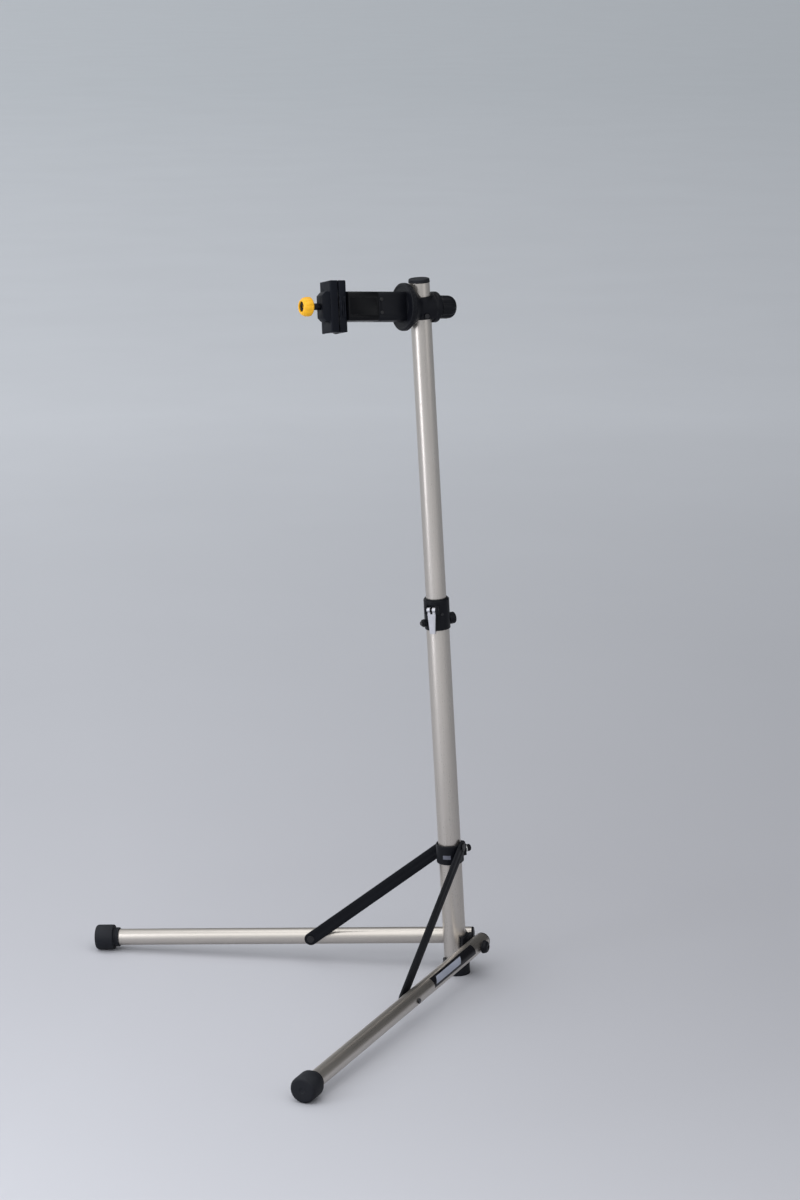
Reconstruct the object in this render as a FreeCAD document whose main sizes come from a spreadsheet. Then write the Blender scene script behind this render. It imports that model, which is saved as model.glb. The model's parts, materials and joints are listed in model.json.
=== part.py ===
import FreeCAD, Part

import math
import os

import Sketcher

# Bike repair stand: a leaning two-leg post with a sliding fold collar, a telescoping mast and a clamp head.
# The post is modelled upright about +Z and then leaned about +Y, so that the post foot and both leg feet
# stand on the floor plane. +X points along the bisector of the legs, which is also the way the arm points,
# +Y is the left leg's side, and the origin is the centre of the post foot on the floor.

SIZES = [
    # post and mast
    ("lean", 3.6, "lean of the post toward the legs, degrees"),
    ("post_diameter", 50.8, "lower tube, outer diameter"),
    ("post_wall", 1.8, "lower tube wall"),
    ("post_bottom", 3.0, "height of the lower tube's end above the foot's centre"),
    ("post_top", 848.0, "top end of the lower tube"),
    ("mast_diameter", 45.0, "inner tube, outer diameter"),
    ("mast_wall", 2.0, "inner tube wall"),
    ("mast_bottom", 750.0, "lower end of the inner tube at full height"),
    ("mast_top", 1571.0, "upper end of the inner tube at full height"),
    ("slide_gap", 0.3, "gap between plastic parts and the tubes that slide in them"),
    ("pin_gap", 0.1, "running gap of pins and shafts"),
    # feet
    ("foot_radius", 31.0, "post foot"),
    ("foot_height", 24.0, "post foot"),
    ("cap_radius", 28.5, "leg foot cap"),
    ("cap_round", 8.0, "rounding of the leg foot cap's end"),
    ("cap_start", 783.0, "start of the foot cap's neck along the leg"),
    ("cap_neck_radius", 22.0, "foot cap neck"),
    ("cap_shoulder", 795.0, "start of the foot cap's thick part"),
    ("cap_end", 838.0, "outer end of the foot cap"),
    # legs
    ("leg_spread", 35.6, "angle of each leg from the bisector, degrees"),
    ("leg_offset", 52.0, "distance of each leg's axis from the post axis"),
    ("leg_diameter", 37.0, "leg tube"),
    ("leg_wall", 1.8, "leg tube wall"),
    ("leg_tail", 34.0, "leg tube behind its pivot"),
    ("leg_length", 815.0, "leg tube in front of its pivot"),
    ("pivot_diameter", 9.8, "leg pivot bolt"),
    ("pivot_cap_radius", 15.0, "cap nut of the leg pivot"),
    ("pivot_cap_depth", 12.0, "cap nut of the leg pivot"),
    # hub bracket
    ("cheek_inner", 26.0, "inner face of the bracket's cheeks from the post axis"),
    ("cheek_outer", 31.4, "outer face of the bracket's cheeks from the post axis"),
    ("bracket_height", 44.0, "hub bracket"),
    ("bolt_height", 35.0, "height of the foot bolt on the post"),
    # braces and fold collar
    ("brace_reach", 334.0, "brace pivot along the leg"),
    ("brace_top", 302.0, "height of the upper brace pivots on the post"),
    ("brace_width", 29.0, "flat bar"),
    ("brace_inner", 29.0, "inner face of the braces from the post axis"),
    ("brace_thickness", 4.0, "flat bar"),
    ("brace_pin_diameter", 7.8, "brace pivot pins"),
    ("collar_radius", 30.5, "fold collar"),
    ("collar_bottom", 265.0, "fold collar"),
    ("collar_height", 44.0, "fold collar"),
    ("collar_flat", 28.7, "flats of the collar under the braces, from the post axis"),
    # height clamp
    ("clamp_radius", 28.2, "height clamp body"),
    ("clamp_bottom", 807.0, "height clamp body"),
    ("clamp_height", 67.0, "height clamp body"),
    ("clamp_screw_height", 823.5, "height of the clamp's two fixing screws"),
    ("lever_azimuth", 43.0, "where the lever sits round the post, degrees from +X"),
    ("lever_pin_radius", 36.0, "distance of the lever pin from the post axis"),
    ("lever_pin_height", 857.0, "height of the lever pin"),
    ("lever_width", 19.0, "quick-release lever at its pin"),
    ("lever_tip_width", 12.5, "quick-release lever at its tip"),
    ("lever_length", 54.0, "quick-release lever from pin to tip"),
    ("lever_thickness", 5.0, "quick-release lever"),
    # head and arm, measured along the arm's axis from the post axis
    ("head_height", 1517.7, "arm axis on the post axis"),
    ("arm_rise", 7.3, "arm above the square to the post, degrees"),
    ("jaw_roll", 12.0, "turn of the jaws about the arm, degrees"),
    ("housing_radius", 30.0, "head housing round the post"),
    ("housing_front", 35.0, "front face of the housing"),
    ("housing_flare", 46.0, "radius of the housing's front face"),
    ("disc_radius", 51.0, "index disc"),
    ("disc_back", 35.4, "back face of the index disc"),
    ("arm_start", 46.0, "front face of the index disc"),
    ("arm_split", 112.0, "joint of the arm and the jaw carrier"),
    ("arm_width", 46.0, "arm box section"),
    ("arm_height", 62.0, "arm box section"),
    ("arm_wall", 4.0, "arm box section"),
    ("spindle_radius", 6.0, "arm spindle"),
    ("rear_knob_radius", 25.0, "tension knob"),
    # jaws
    ("jaw_start", 184.0, "back of the fixed jaw"),
    ("jaw_thickness", 17.0, "each jaw along the arm"),
    ("jaw_gap", 4.0, "gap of the closed jaws"),
    ("jaw_height", 109.0, "each jaw"),
    ("jaw_back", 14.0, "jaw edge behind the screw"),
    ("jaw_front", 34.0, "jaw edge in front of the groove"),
    ("groove_offset", 23.0, "groove axis in front of the screw"),
    ("groove_radius", 16.0, "groove of each jaw"),
    ("pad_thickness", 2.4, "rubber pad"),
    ("screw_radius", 5.0, "clamp screw"),
    ("rod_radius", 4.0, "guide rods"),
    ("rod_spacing", 19.0, "each guide rod from the screw"),
    ("end_plate_depth", 19.0, "end plate of the moving jaw"),
    ("end_plate_height", 62.0, "end plate of the moving jaw"),
    ("end_plate_width", 26.0, "end plate of the moving jaw"),
    ("knob_radius", 20.5, "clamp knob"),
    ("knob_start", 261.0, "clamp knob"),
    ("knob_depth", 24.0, "clamp knob"),
]

Vector = FreeCAD.Vector
Placement = FreeCAD.Placement
Rotation = FreeCAD.Rotation
ORIGIN = Vector(0, 0, 0)
X_AXIS = Vector(1, 0, 0)
Y_AXIS = Vector(0, 1, 0)
Z_AXIS = Vector(0, 0, 1)
HERE = Placement()

doc = FreeCAD.newDocument("repair_stand")
sheet = doc.addObject("Spreadsheet::Sheet", "Sizes")


class Dim:
    """A length or an angle that knows both its number and the spreadsheet expression that gives it."""

    def __init__(self, value, text):
        self.value = value
        self.text = text

    def __add__(self, other):
        return Dim(self.value + number(other), f"({self.text} + {words(other)})")

    def __sub__(self, other):
        return Dim(self.value - number(other), f"({self.text} - {words(other)})")

    def __mul__(self, other):
        return Dim(self.value * number(other), f"({self.text} * {words(other)})")

    def __truediv__(self, other):
        return Dim(self.value / number(other), f"({self.text} / {words(other)})")

    def __radd__(self, other):
        return self + other

    def __rsub__(self, other):
        return -self + other

    def __neg__(self):
        return Dim(-self.value, f"(0 - {self.text})")

    def __float__(self):
        return float(self.value)


def number(quantity):
    return float(quantity)


def words(quantity):
    return quantity.text if isinstance(quantity, Dim) else repr(float(quantity))


def write_sheet():
    """Puts every driving size in the sheet and returns them by name."""
    sizes = {}
    for row, (name, value, note) in enumerate(SIZES, start=1):
        sheet.set(f"A{row}", name)
        sheet.set(f"B{row}", str(value))
        sheet.set(f"C{row}", note)
        sheet.setAlias(f"B{row}", name)
        sizes[name] = Dim(value, f"Sizes.{name}")
    doc.recompute()
    return sizes


S = write_sheet()
POST_RADIUS = S["post_diameter"] / 2
MAST_RADIUS = S["mast_diameter"] / 2
LEG_RADIUS = S["leg_diameter"] / 2
PIVOT_RADIUS = S["pivot_diameter"] / 2
BRACE_PIN_RADIUS = S["brace_pin_diameter"] / 2
SPREAD = math.radians(number(S["leg_spread"]))
LEAN = math.radians(number(S["lean"]))


# ---------------------------------------------------------------- frames


def at(x, y, z):
    return Placement(Vector(number(x), number(y), number(z)), Rotation())


def turned_about(axis, degrees):
    return Placement(ORIGIN, Rotation(axis, number(degrees)))


def aimed(x, y, z, direction):
    """A placement at x, y, z whose own Z axis points along direction."""
    return Placement(Vector(number(x), number(y), number(z)), Rotation(Z_AXIS, direction))


def hub_height():
    """Height of the leg pivots on the post that puts the rims of the leaning leg caps on the floor."""
    rim = number(S["cap_end"]) - number(S["cap_round"])
    reach = rim * math.cos(SPREAD) - number(S["leg_offset"]) * math.sin(SPREAD)
    flat = number(S["cap_radius"]) - number(S["cap_round"])
    across = math.sqrt(1 - (math.sin(LEAN) * math.cos(SPREAD)) ** 2)
    return (flat * across + number(S["cap_round"]) + reach * math.sin(LEAN)) / math.cos(LEAN)


HUB_HEIGHT = hub_height()
POST = turned_about(Y_AXIS, S["lean"])
HEAD = POST.multiply(at(0, 0, S["head_height"])).multiply(turned_about(Y_AXIS, -number(S["arm_rise"])))
ARM = HEAD.multiply(turned_about(X_AXIS, S["jaw_roll"]))
SIDES = (("left", 1), ("right", -1))


def leg_frame(side):
    """Own frame of a leg, inside the post's frame: X along the leg, Y across it, Z up, at the pivot."""
    turn = turned_about(Z_AXIS, side * number(S["leg_spread"]))
    return at(0, 0, HUB_HEIGHT).multiply(turn).multiply(at(0, side * number(S["leg_offset"]), 0))


def brace_frame(side):
    """Frame of a brace, inside the post's frame: X from the collar pivot down to the leg pivot."""
    down = number(S["brace_top"]) - HUB_HEIGHT
    slope = math.degrees(math.atan2(down, number(S["brace_reach"])))
    turn = turned_about(Z_AXIS, side * number(S["leg_spread"]))
    return at(0, 0, S["brace_top"]).multiply(turn).multiply(turned_about(Y_AXIS, slope))


# ---------------------------------------------------------------- building blocks


def bind(thing, **properties):
    for name, quantity in properties.items():
        if isinstance(quantity, Dim):
            thing.setExpression(name, quantity.text)
        else:
            setattr(thing, name, quantity)


def cylinder(radius, length, place=HERE):
    """A cylinder along its placement's Z axis."""
    thing = doc.addObject("Part::Cylinder", "cylinder")
    bind(thing, Radius=radius, Height=length)
    thing.Placement = place
    return thing


def centred_cylinder(radius, length, place=HERE):
    return cylinder(radius, length, place.multiply(at(0, 0, -number(length) / 2)))


def box(x_size, y_size, z_size, corner):
    thing = doc.addObject("Part::Box", "box")
    bind(thing, Length=x_size, Width=y_size, Height=z_size)
    thing.Placement = corner
    return thing


def centred_box(x_size, y_size, z_size, place=HERE):
    """A box centred on its placement in X and Y and Z."""
    corner = at(-number(x_size) / 2, -number(y_size) / 2, -number(z_size) / 2)
    return box(x_size, y_size, z_size, place.multiply(corner))


def hexagon(across_corners, length, place=HERE):
    thing = doc.addObject("Part::Prism", "hexagon")
    thing.Polygon = 6
    bind(thing, Circumradius=across_corners / 2, Height=length)
    thing.Placement = place
    return thing


def fuse(*shapes):
    thing = doc.addObject("Part::MultiFuse", "fuse")
    thing.Shapes = list(shapes)
    return thing


def common(*shapes):
    thing = doc.addObject("Part::MultiCommon", "common")
    thing.Shapes = list(shapes)
    return thing


def cut(base, *tools):
    """Takes the tools away one after another."""
    for tool in tools:
        thing = doc.addObject("Part::Cut", "cut")
        thing.Base = base
        thing.Tool = tool
        base = thing
    return base


def group(*shapes):
    thing = doc.addObject("Part::Compound", "group")
    thing.Links = list(shapes)
    return thing


def rounded(base, radius, chosen):
    """Rounds the edges of base that chosen(edge) picks."""
    doc.recompute()
    thing = doc.addObject("Part::Fillet", "rounded")
    thing.Base = base
    size = number(radius)
    thing.Edges = [(i, size, size) for i, edge in enumerate(base.Shape.Edges, start=1) if chosen(edge)]
    return thing


def along_x(edge):
    """True for a straight edge parallel to X."""
    if edge.Curve.TypeId != "Part::GeomLine":
        return False
    return abs(abs(edge.Curve.Direction.x) - 1) < 1e-6


def along_z(edge):
    """True for a straight edge parallel to Z."""
    if edge.Curve.TypeId != "Part::GeomLine":
        return False
    return abs(abs(edge.Curve.Direction.z) - 1) < 1e-6


def crosswise(edge):
    """True for a straight edge square to X."""
    if edge.Curve.TypeId != "Part::GeomLine":
        return False
    return abs(edge.Curve.Direction.x) < 1e-6


def tube(radius, wall, length, place=HERE):
    return cut(cylinder(radius, length, place), cylinder(radius - wall, length, place))


def sketch_on(body, role, outlines):
    """A sketch on an origin plane of body, with every corner of its outlines bound to the sheet."""
    plane = [feature for feature in body.Origin.OriginFeatures if feature.Role == role][0]
    sketch = body.newObject("Sketcher::SketchObject", "outline")
    sketch.AttachmentSupport = [(plane, "")]
    sketch.MapMode = "FlatFace"
    for points in outlines:
        first = sketch.GeometryCount
        count = len(points)
        for i in range(count):
            start = Vector(number(points[i][0]), number(points[i][1]), 0)
            end = Vector(number(points[(i + 1) % count][0]), number(points[(i + 1) % count][1]), 0)
            sketch.addGeometry(Part.LineSegment(start, end), False)
        for i in range(count):
            following = first + (i + 1) % count
            sketch.addConstraint(Sketcher.Constraint("Coincident", first + i, 2, following, 1))
        for i, point in enumerate(points):
            for kind, quantity in zip(("DistanceX", "DistanceY"), point):
                rule = Sketcher.Constraint(kind, -1, 1, first + i, 1, number(quantity))
                index = sketch.addConstraint(rule)
                if isinstance(quantity, Dim):
                    name = f"{kind}_{first + i}"
                    sketch.renameConstraint(index, name)
                    sketch.setExpression(f".Constraints.{name}", quantity.text)
    return sketch


def turned(outline, rounds=(), chamfers=()):
    """A body of revolution about its own Z axis. The outline's points are (radius, height) pairs, and
    rounds and chamfers name circular edges by (radius, height, size)."""
    body = doc.addObject("PartDesign::Body", "turned")
    sketch = sketch_on(body, "XZ_Plane", [outline])
    last = body.newObject("PartDesign::Revolution", "revolution")
    last.Profile = sketch
    last.ReferenceAxis = (sketch, ["V_Axis"])
    last.Angle = 360
    doc.recompute()
    for kind, marks in (("PartDesign::Fillet", rounds), ("PartDesign::Chamfer", chamfers)):
        for radius, height, size in marks:
            edges = circles_at(last.Shape, number(radius), number(height))
            dressing = body.newObject(kind, "edge")
            dressing.Base = (last, edges)
            bind(dressing, **{"Radius" if kind.endswith("Fillet") else "Size": size})
            doc.recompute()
            last = dressing
    body.Tip = last
    return body


def circles_at(shape, radius, height):
    """Names of the circular edges of a given radius and height about Z."""
    names = []
    for i, edge in enumerate(shape.Edges, start=1):
        if edge.Curve.TypeId != "Part::GeomCircle":
            continue
        if abs(edge.Curve.Radius - radius) < 1e-4 and abs(edge.Curve.Center.z - height) < 1e-4:
            names.append(f"Edge{i}")
    if not names:
        raise RuntimeError(f"no circle of radius {radius} at height {height}")
    return names


def padded(outlines, thickness, role="XY_Plane"):
    """A plate of the given outlines, centred on its sketch plane."""
    body = doc.addObject("PartDesign::Body", "plate")
    pad = body.newObject("PartDesign::Pad", "pad")
    pad.Profile = sketch_on(body, role, outlines)
    bind(pad, Length=thickness)
    pad.Midplane = True
    body.Tip = pad
    return body


nodes = {}


def node(name, thing, frame=HERE):
    """Names a finished piece and puts it in the stand."""
    thing.Label = name
    thing.Placement = frame.multiply(thing.Placement)
    nodes[name] = thing
    return thing


# ---------------------------------------------------------------- post, foot and hub


def radial(azimuth, distance, height):
    """A placement on the post whose Z axis points straight out at the given azimuth in degrees."""
    angle = math.radians(azimuth)
    outward = Vector(math.cos(angle), math.sin(angle), 0)
    start = outward * number(distance)
    return aimed(start.x, start.y, height, outward)


RIVET_RADIUS = 2.5
RIVET_HEIGHTS = (HUB_HEIGHT - 12, HUB_HEIGHT + 12)
FOOT_BOLT_RADIUS = 3.0
FIXING_RADIUS = 2.5
BORE_DEPTH = 10.0
BACK = 180.0
FRONT = 0.0


def wall_hole(radius, azimuth, height):
    return cylinder(radius, BORE_DEPTH, radial(azimuth, POST_RADIUS - BORE_DEPTH / 2, height))


def make_lower_tube():
    length = S["post_top"] - S["post_bottom"]
    body = tube(POST_RADIUS, S["post_wall"], length, at(0, 0, S["post_bottom"]))
    holes = [wall_hole(FOOT_BOLT_RADIUS, FRONT, S["bolt_height"])]
    holes += [wall_hole(RIVET_RADIUS, BACK, height) for height in RIVET_HEIGHTS]
    holes += [wall_hole(FIXING_RADIUS, side, S["clamp_screw_height"]) for side in (FRONT, BACK)]
    node("lower_tube", cut(body, *holes), POST)


def make_post_foot():
    below = S["post_bottom"] * -2
    outline = [
        (0, below),
        (S["foot_radius"], below),
        (S["foot_radius"], S["foot_height"]),
        (POST_RADIUS, S["foot_height"]),
        (POST_RADIUS, S["post_bottom"]),
        (0, S["post_bottom"]),
    ]
    blank = turned(outline, rounds=[(S["foot_radius"], S["foot_height"], 2.5)])
    slab = 40.0
    floor = turned_about(Y_AXIS, -number(S["lean"])).multiply(at(0, 0, -slab / 2))
    node("post_foot", cut(blank, centred_box(120, 120, slab, floor)), POST)


def make_hub_bracket():
    height = S["bracket_height"]
    bottom = HUB_HEIGHT - number(height) / 2
    ring = cylinder(S["cheek_outer"], height, at(0, 0, bottom))
    cheek_length = 46.0
    depth = S["cheek_outer"] - S["cheek_inner"]
    middle = (number(S["cheek_outer"]) + number(S["cheek_inner"])) / 2 - number(S["leg_offset"])
    cheeks = []
    bores = []
    for _, side in SIDES:
        frame = leg_frame(side).multiply(at(0, side * middle, 0))
        cheeks.append(centred_box(cheek_length, depth, height, frame))
        across = frame.multiply(aimed(0, 0, 0, Y_AXIS))
        bores.append(centred_cylinder(PIVOT_RADIUS, BORE_DEPTH * 2, across))
    post_bore = cylinder(POST_RADIUS, height * 2, at(0, 0, bottom - number(height) / 2))
    front_room = box(60, 120, height * 2, at(2, -60, bottom - number(height) / 2))
    rivets = [
        cylinder(RIVET_RADIUS, BORE_DEPTH, radial(BACK, POST_RADIUS - 1.0, rivet)) for rivet in RIVET_HEIGHTS
    ]
    body = cut(fuse(ring, *cheeks), post_bore, front_room, *bores, *rivets)
    node("hub_bracket", body, POST)


def screw(shank_radius, shank_length, head_radius, head_height, round_size=1.0):
    """A round-headed screw whose head's underside is at its origin, with its shank along -Z."""
    outline = [
        (0, -number(shank_length)),
        (shank_radius, -number(shank_length)),
        (shank_radius, 0),
        (head_radius, 0),
        (head_radius, head_height),
        (0, head_height),
    ]
    return turned(outline, rounds=[(head_radius, head_height, round_size)])


def make_hub_fasteners():
    rivets = []
    for height in RIVET_HEIGHTS:
        rivet = screw(RIVET_RADIUS, S["cheek_outer"] - POST_RADIUS + S["post_wall"], 4.5, 2.0)
        rivet.Placement = radial(BACK, S["cheek_outer"], height)
        rivets.append(rivet)
    node("bracket_rivets", group(*rivets), POST)
    bolt = screw(FOOT_BOLT_RADIUS, S["post_wall"], 6.5, 4.5, 1.5)
    node("foot_bolt", bolt, POST.multiply(radial(FRONT, POST_RADIUS, S["bolt_height"])))


def outer_face(side, distance, along=0.0):
    """A placement on a leg, at a distance from the post axis, whose Z axis points away from the post."""
    across = Vector(0, side, 0)
    offset = side * (number(distance) - number(S["leg_offset"]))
    return POST.multiply(leg_frame(side)).multiply(aimed(along, offset, 0, across))


def make_leg_pivots():
    leg_outside = S["leg_offset"] + LEG_RADIUS
    cap_base = leg_outside + S["slide_gap"]
    bolt_end = cap_base + S["pivot_cap_depth"] / 2
    bolts = []
    caps = []
    spacers = []
    spacer_depth = S["leg_offset"] - LEG_RADIUS - S["slide_gap"] - S["cheek_outer"]
    for _, side in SIDES:
        length = bolt_end - S["cheek_inner"]
        bolts.append(cylinder(PIVOT_RADIUS, length, outer_face(side, S["cheek_inner"])))
        outline = [
            (PIVOT_RADIUS, 0),
            (S["pivot_cap_radius"], 0),
            (S["pivot_cap_radius"], S["pivot_cap_depth"]),
            (0, S["pivot_cap_depth"]),
            (0, S["pivot_cap_depth"] / 2),
            (PIVOT_RADIUS, S["pivot_cap_depth"] / 2),
        ]
        cap = turned(outline, rounds=[(S["pivot_cap_radius"], S["pivot_cap_depth"], 4.0)])
        cap.Placement = outer_face(side, cap_base)
        caps.append(cap)
        place = outer_face(side, S["cheek_outer"])
        spacers.append(cut(cylinder(12, spacer_depth, place), cylinder(PIVOT_RADIUS, spacer_depth, place)))
    node("leg_pivot_bolts", group(*bolts))
    node("leg_pivot_caps", group(*caps))
    node("leg_pivot_spacers", group(*spacers))


# ---------------------------------------------------------------- legs


def leg_axis(side, along):
    """A placement on a leg's own axis, whose Z axis points to the leg's foot."""
    return POST.multiply(leg_frame(side)).multiply(aimed(along, 0, 0, X_AXIS))


def make_leg(name, side):
    frame = POST.multiply(leg_frame(side))
    length = S["leg_length"] + S["leg_tail"]
    body = tube(LEG_RADIUS, S["leg_wall"], length, aimed(-number(S["leg_tail"]), 0, 0, X_AXIS))
    pivot = centred_cylinder(PIVOT_RADIUS + S["pin_gap"], S["leg_diameter"] * 2, aimed(0, 0, 0, Y_AXIS))
    brace = aimed(S["brace_reach"], 0, 0, Y_AXIS)
    brace_hole = centred_cylinder(BRACE_PIN_RADIUS, S["leg_diameter"] * 2, brace)
    node(f"{name}_leg_tube", cut(body, pivot, brace_hole), frame)

    bore = LEG_RADIUS - S["leg_wall"]
    face = 4.0
    insert = 12.0
    outline = [
        (0, insert),
        (0, -face),
        (LEG_RADIUS, -face),
        (LEG_RADIUS, 0),
        (bore, 0),
        (bore, insert),
    ]
    plug = turned(outline, rounds=[(LEG_RADIUS, -face, 3.0)])
    node(f"{name}_leg_plug", plug, leg_axis(side, -number(S["leg_tail"])))

    outline = [
        (LEG_RADIUS, S["cap_start"]),
        (S["cap_neck_radius"], S["cap_start"]),
        (S["cap_neck_radius"], S["cap_shoulder"]),
        (S["cap_radius"], S["cap_shoulder"]),
        (S["cap_radius"], S["cap_end"]),
        (0, S["cap_end"]),
        (0, S["leg_length"]),
        (LEG_RADIUS, S["leg_length"]),
    ]
    rounds = [
        (S["cap_radius"], S["cap_end"], S["cap_round"]),
        (S["cap_radius"], S["cap_shoulder"], 3.0),
        (S["cap_neck_radius"], S["cap_start"], 1.5),
    ]
    node(f"{name}_leg_foot", turned(outline, rounds=rounds), leg_axis(side, 0))


def make_brace_mounts(name, side):
    """The saddle washer and the bolt that hold a brace's lower end against its leg."""
    saddle_depth = 7.0
    bolt_inner = S["brace_inner"] + S["brace_thickness"] + S["slide_gap"]
    place = outer_face(side, bolt_inner, number(S["brace_reach"]))
    blank = cylinder(10.0, saddle_depth, place)
    leg = cylinder(LEG_RADIUS, 60.0, leg_axis(side, number(S["brace_reach"]) - 30.0))
    hole = cylinder(BRACE_PIN_RADIUS, saddle_depth * 2, place.multiply(at(0, 0, -saddle_depth / 2)))
    node(f"{name}_brace_saddle", cut(blank, leg, hole))

    leg_outside = S["leg_offset"] + LEG_RADIUS
    bolt = screw(BRACE_PIN_RADIUS, leg_outside - bolt_inner, 6.0, 3.5, 1.5)
    node(f"{name}_brace_bolt", bolt, outer_face(side, leg_outside, number(S["brace_reach"])))


# ---------------------------------------------------------------- braces and collar

BRACE_LENGTH = math.hypot(number(S["brace_reach"]), number(S["brace_top"]) - HUB_HEIGHT)


def brace_face(side, distance, along=0.0):
    """A placement on a brace, at a distance from the post axis, whose Z axis points away from the post."""
    across = Vector(0, side, 0)
    return POST.multiply(brace_frame(side)).multiply(aimed(along, side * number(distance), 0, across))


def make_brace(name, side):
    frame = POST.multiply(brace_frame(side))
    half = S["brace_width"] / 2
    middle = side * (number(S["brace_inner"]) + number(S["brace_thickness"]) / 2)
    bar = centred_box(BRACE_LENGTH, S["brace_thickness"], S["brace_width"], at(BRACE_LENGTH / 2, middle, 0))
    thickness = S["brace_thickness"]
    ends = [centred_cylinder(half, thickness, aimed(x, middle, 0, Y_AXIS)) for x in (0, BRACE_LENGTH)]
    pivot_bore = aimed(0, middle, 0, Y_AXIS)
    rivet_bore = aimed(BRACE_LENGTH, middle, 0, Y_AXIS)
    body = cut(
        fuse(bar, *ends),
        centred_cylinder(BRACE_PIN_RADIUS + S["pin_gap"], BORE_DEPTH, pivot_bore),
        centred_cylinder(BRACE_PIN_RADIUS, BORE_DEPTH, rivet_bore),
    )
    node(f"{name}_brace", body, frame)
    rivet = screw(BRACE_PIN_RADIUS, S["brace_thickness"], 8.0, 1.6, 0.6)
    flipped = brace_face(side, S["brace_inner"], BRACE_LENGTH).multiply(turned_about(X_AXIS, 180))
    node(f"{name}_brace_rivet", rivet, flipped)


LOCK_RADIUS = 3.0
LOCK_BOSS_END = 38.0


def make_collar():
    bottom = S["collar_bottom"]
    height = S["collar_height"]
    ring = cylinder(S["collar_radius"], height, at(0, 0, bottom))
    middle = number(bottom) + number(height) / 2
    boss = centred_box(12, 18, 26, at(-LOCK_BOSS_END + 6, 0, middle))
    ear_radius = 8.0
    ears = []
    trims = []
    pins = []
    trim_depth = 20.0
    for _, side in SIDES:
        outward = number(S["leg_spread"]) * side + 90.0 * side
        ear = radial(outward, POST_RADIUS, S["brace_top"])
        ears.append(cylinder(ear_radius, S["collar_flat"] - POST_RADIUS, ear))
        flat = radial(outward, number(S["collar_flat"]) + trim_depth / 2, middle)
        trims.append(centred_box(height * 2, 60, trim_depth, flat))
        pin_root = POST_RADIUS + S["slide_gap"] * 2
        pin_head = S["brace_inner"] + S["brace_thickness"] + S["slide_gap"]
        pin = screw(BRACE_PIN_RADIUS, pin_head - pin_root, 8.0, 2.5)
        pin.Placement = radial(outward, pin_head, S["brace_top"])
        pins.append(pin)
        trims.append(cylinder(BRACE_PIN_RADIUS, BORE_DEPTH, radial(outward, pin_root, S["brace_top"])))
    bore = cylinder(POST_RADIUS + S["slide_gap"], height * 3, at(0, 0, number(bottom) - number(height)))
    lock_bore = cylinder(LOCK_RADIUS, 20.0, radial(BACK, POST_RADIUS, middle))
    blank = rounded(ring, 2.0, lambda edge: edge.Curve.TypeId == "Part::GeomCircle")
    node("fold_collar", cut(fuse(blank, boss, *ears), bore, lock_bore, *trims), POST)
    node("brace_pivot_pins", group(*pins), POST)

    knob_start = LOCK_BOSS_END + number(S["slide_gap"])
    tip = POST_RADIUS + S["slide_gap"]
    shaft = LOCK_RADIUS - number(S["pin_gap"])
    place = POST.multiply(radial(BACK, knob_start, middle))
    lock_screw = cylinder(shaft, knob_start + 6.0 - number(tip), radial(BACK, tip, middle))
    node("collar_lock_screw", lock_screw, POST)
    ring_depth = 2.5
    washer = cut(cylinder(9.0, ring_depth), cylinder(shaft, ring_depth))
    node("collar_lock_ring", washer, place)
    knob_depth = 11.0
    outline = [
        (shaft, ring_depth),
        (8.0, ring_depth),
        (8.0, ring_depth + knob_depth),
        (0, ring_depth + knob_depth),
        (0, 6.0),
        (shaft, 6.0),
    ]
    node("collar_lock_knob", turned(outline, rounds=[(8.0, ring_depth + knob_depth, 2.0)]), place)


# ---------------------------------------------------------------- height clamp


LEVER_PIN_RADIUS = 2.5
SHOE_WIDTH = 18.0
SHOE_HEIGHT = 14.0


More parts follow.
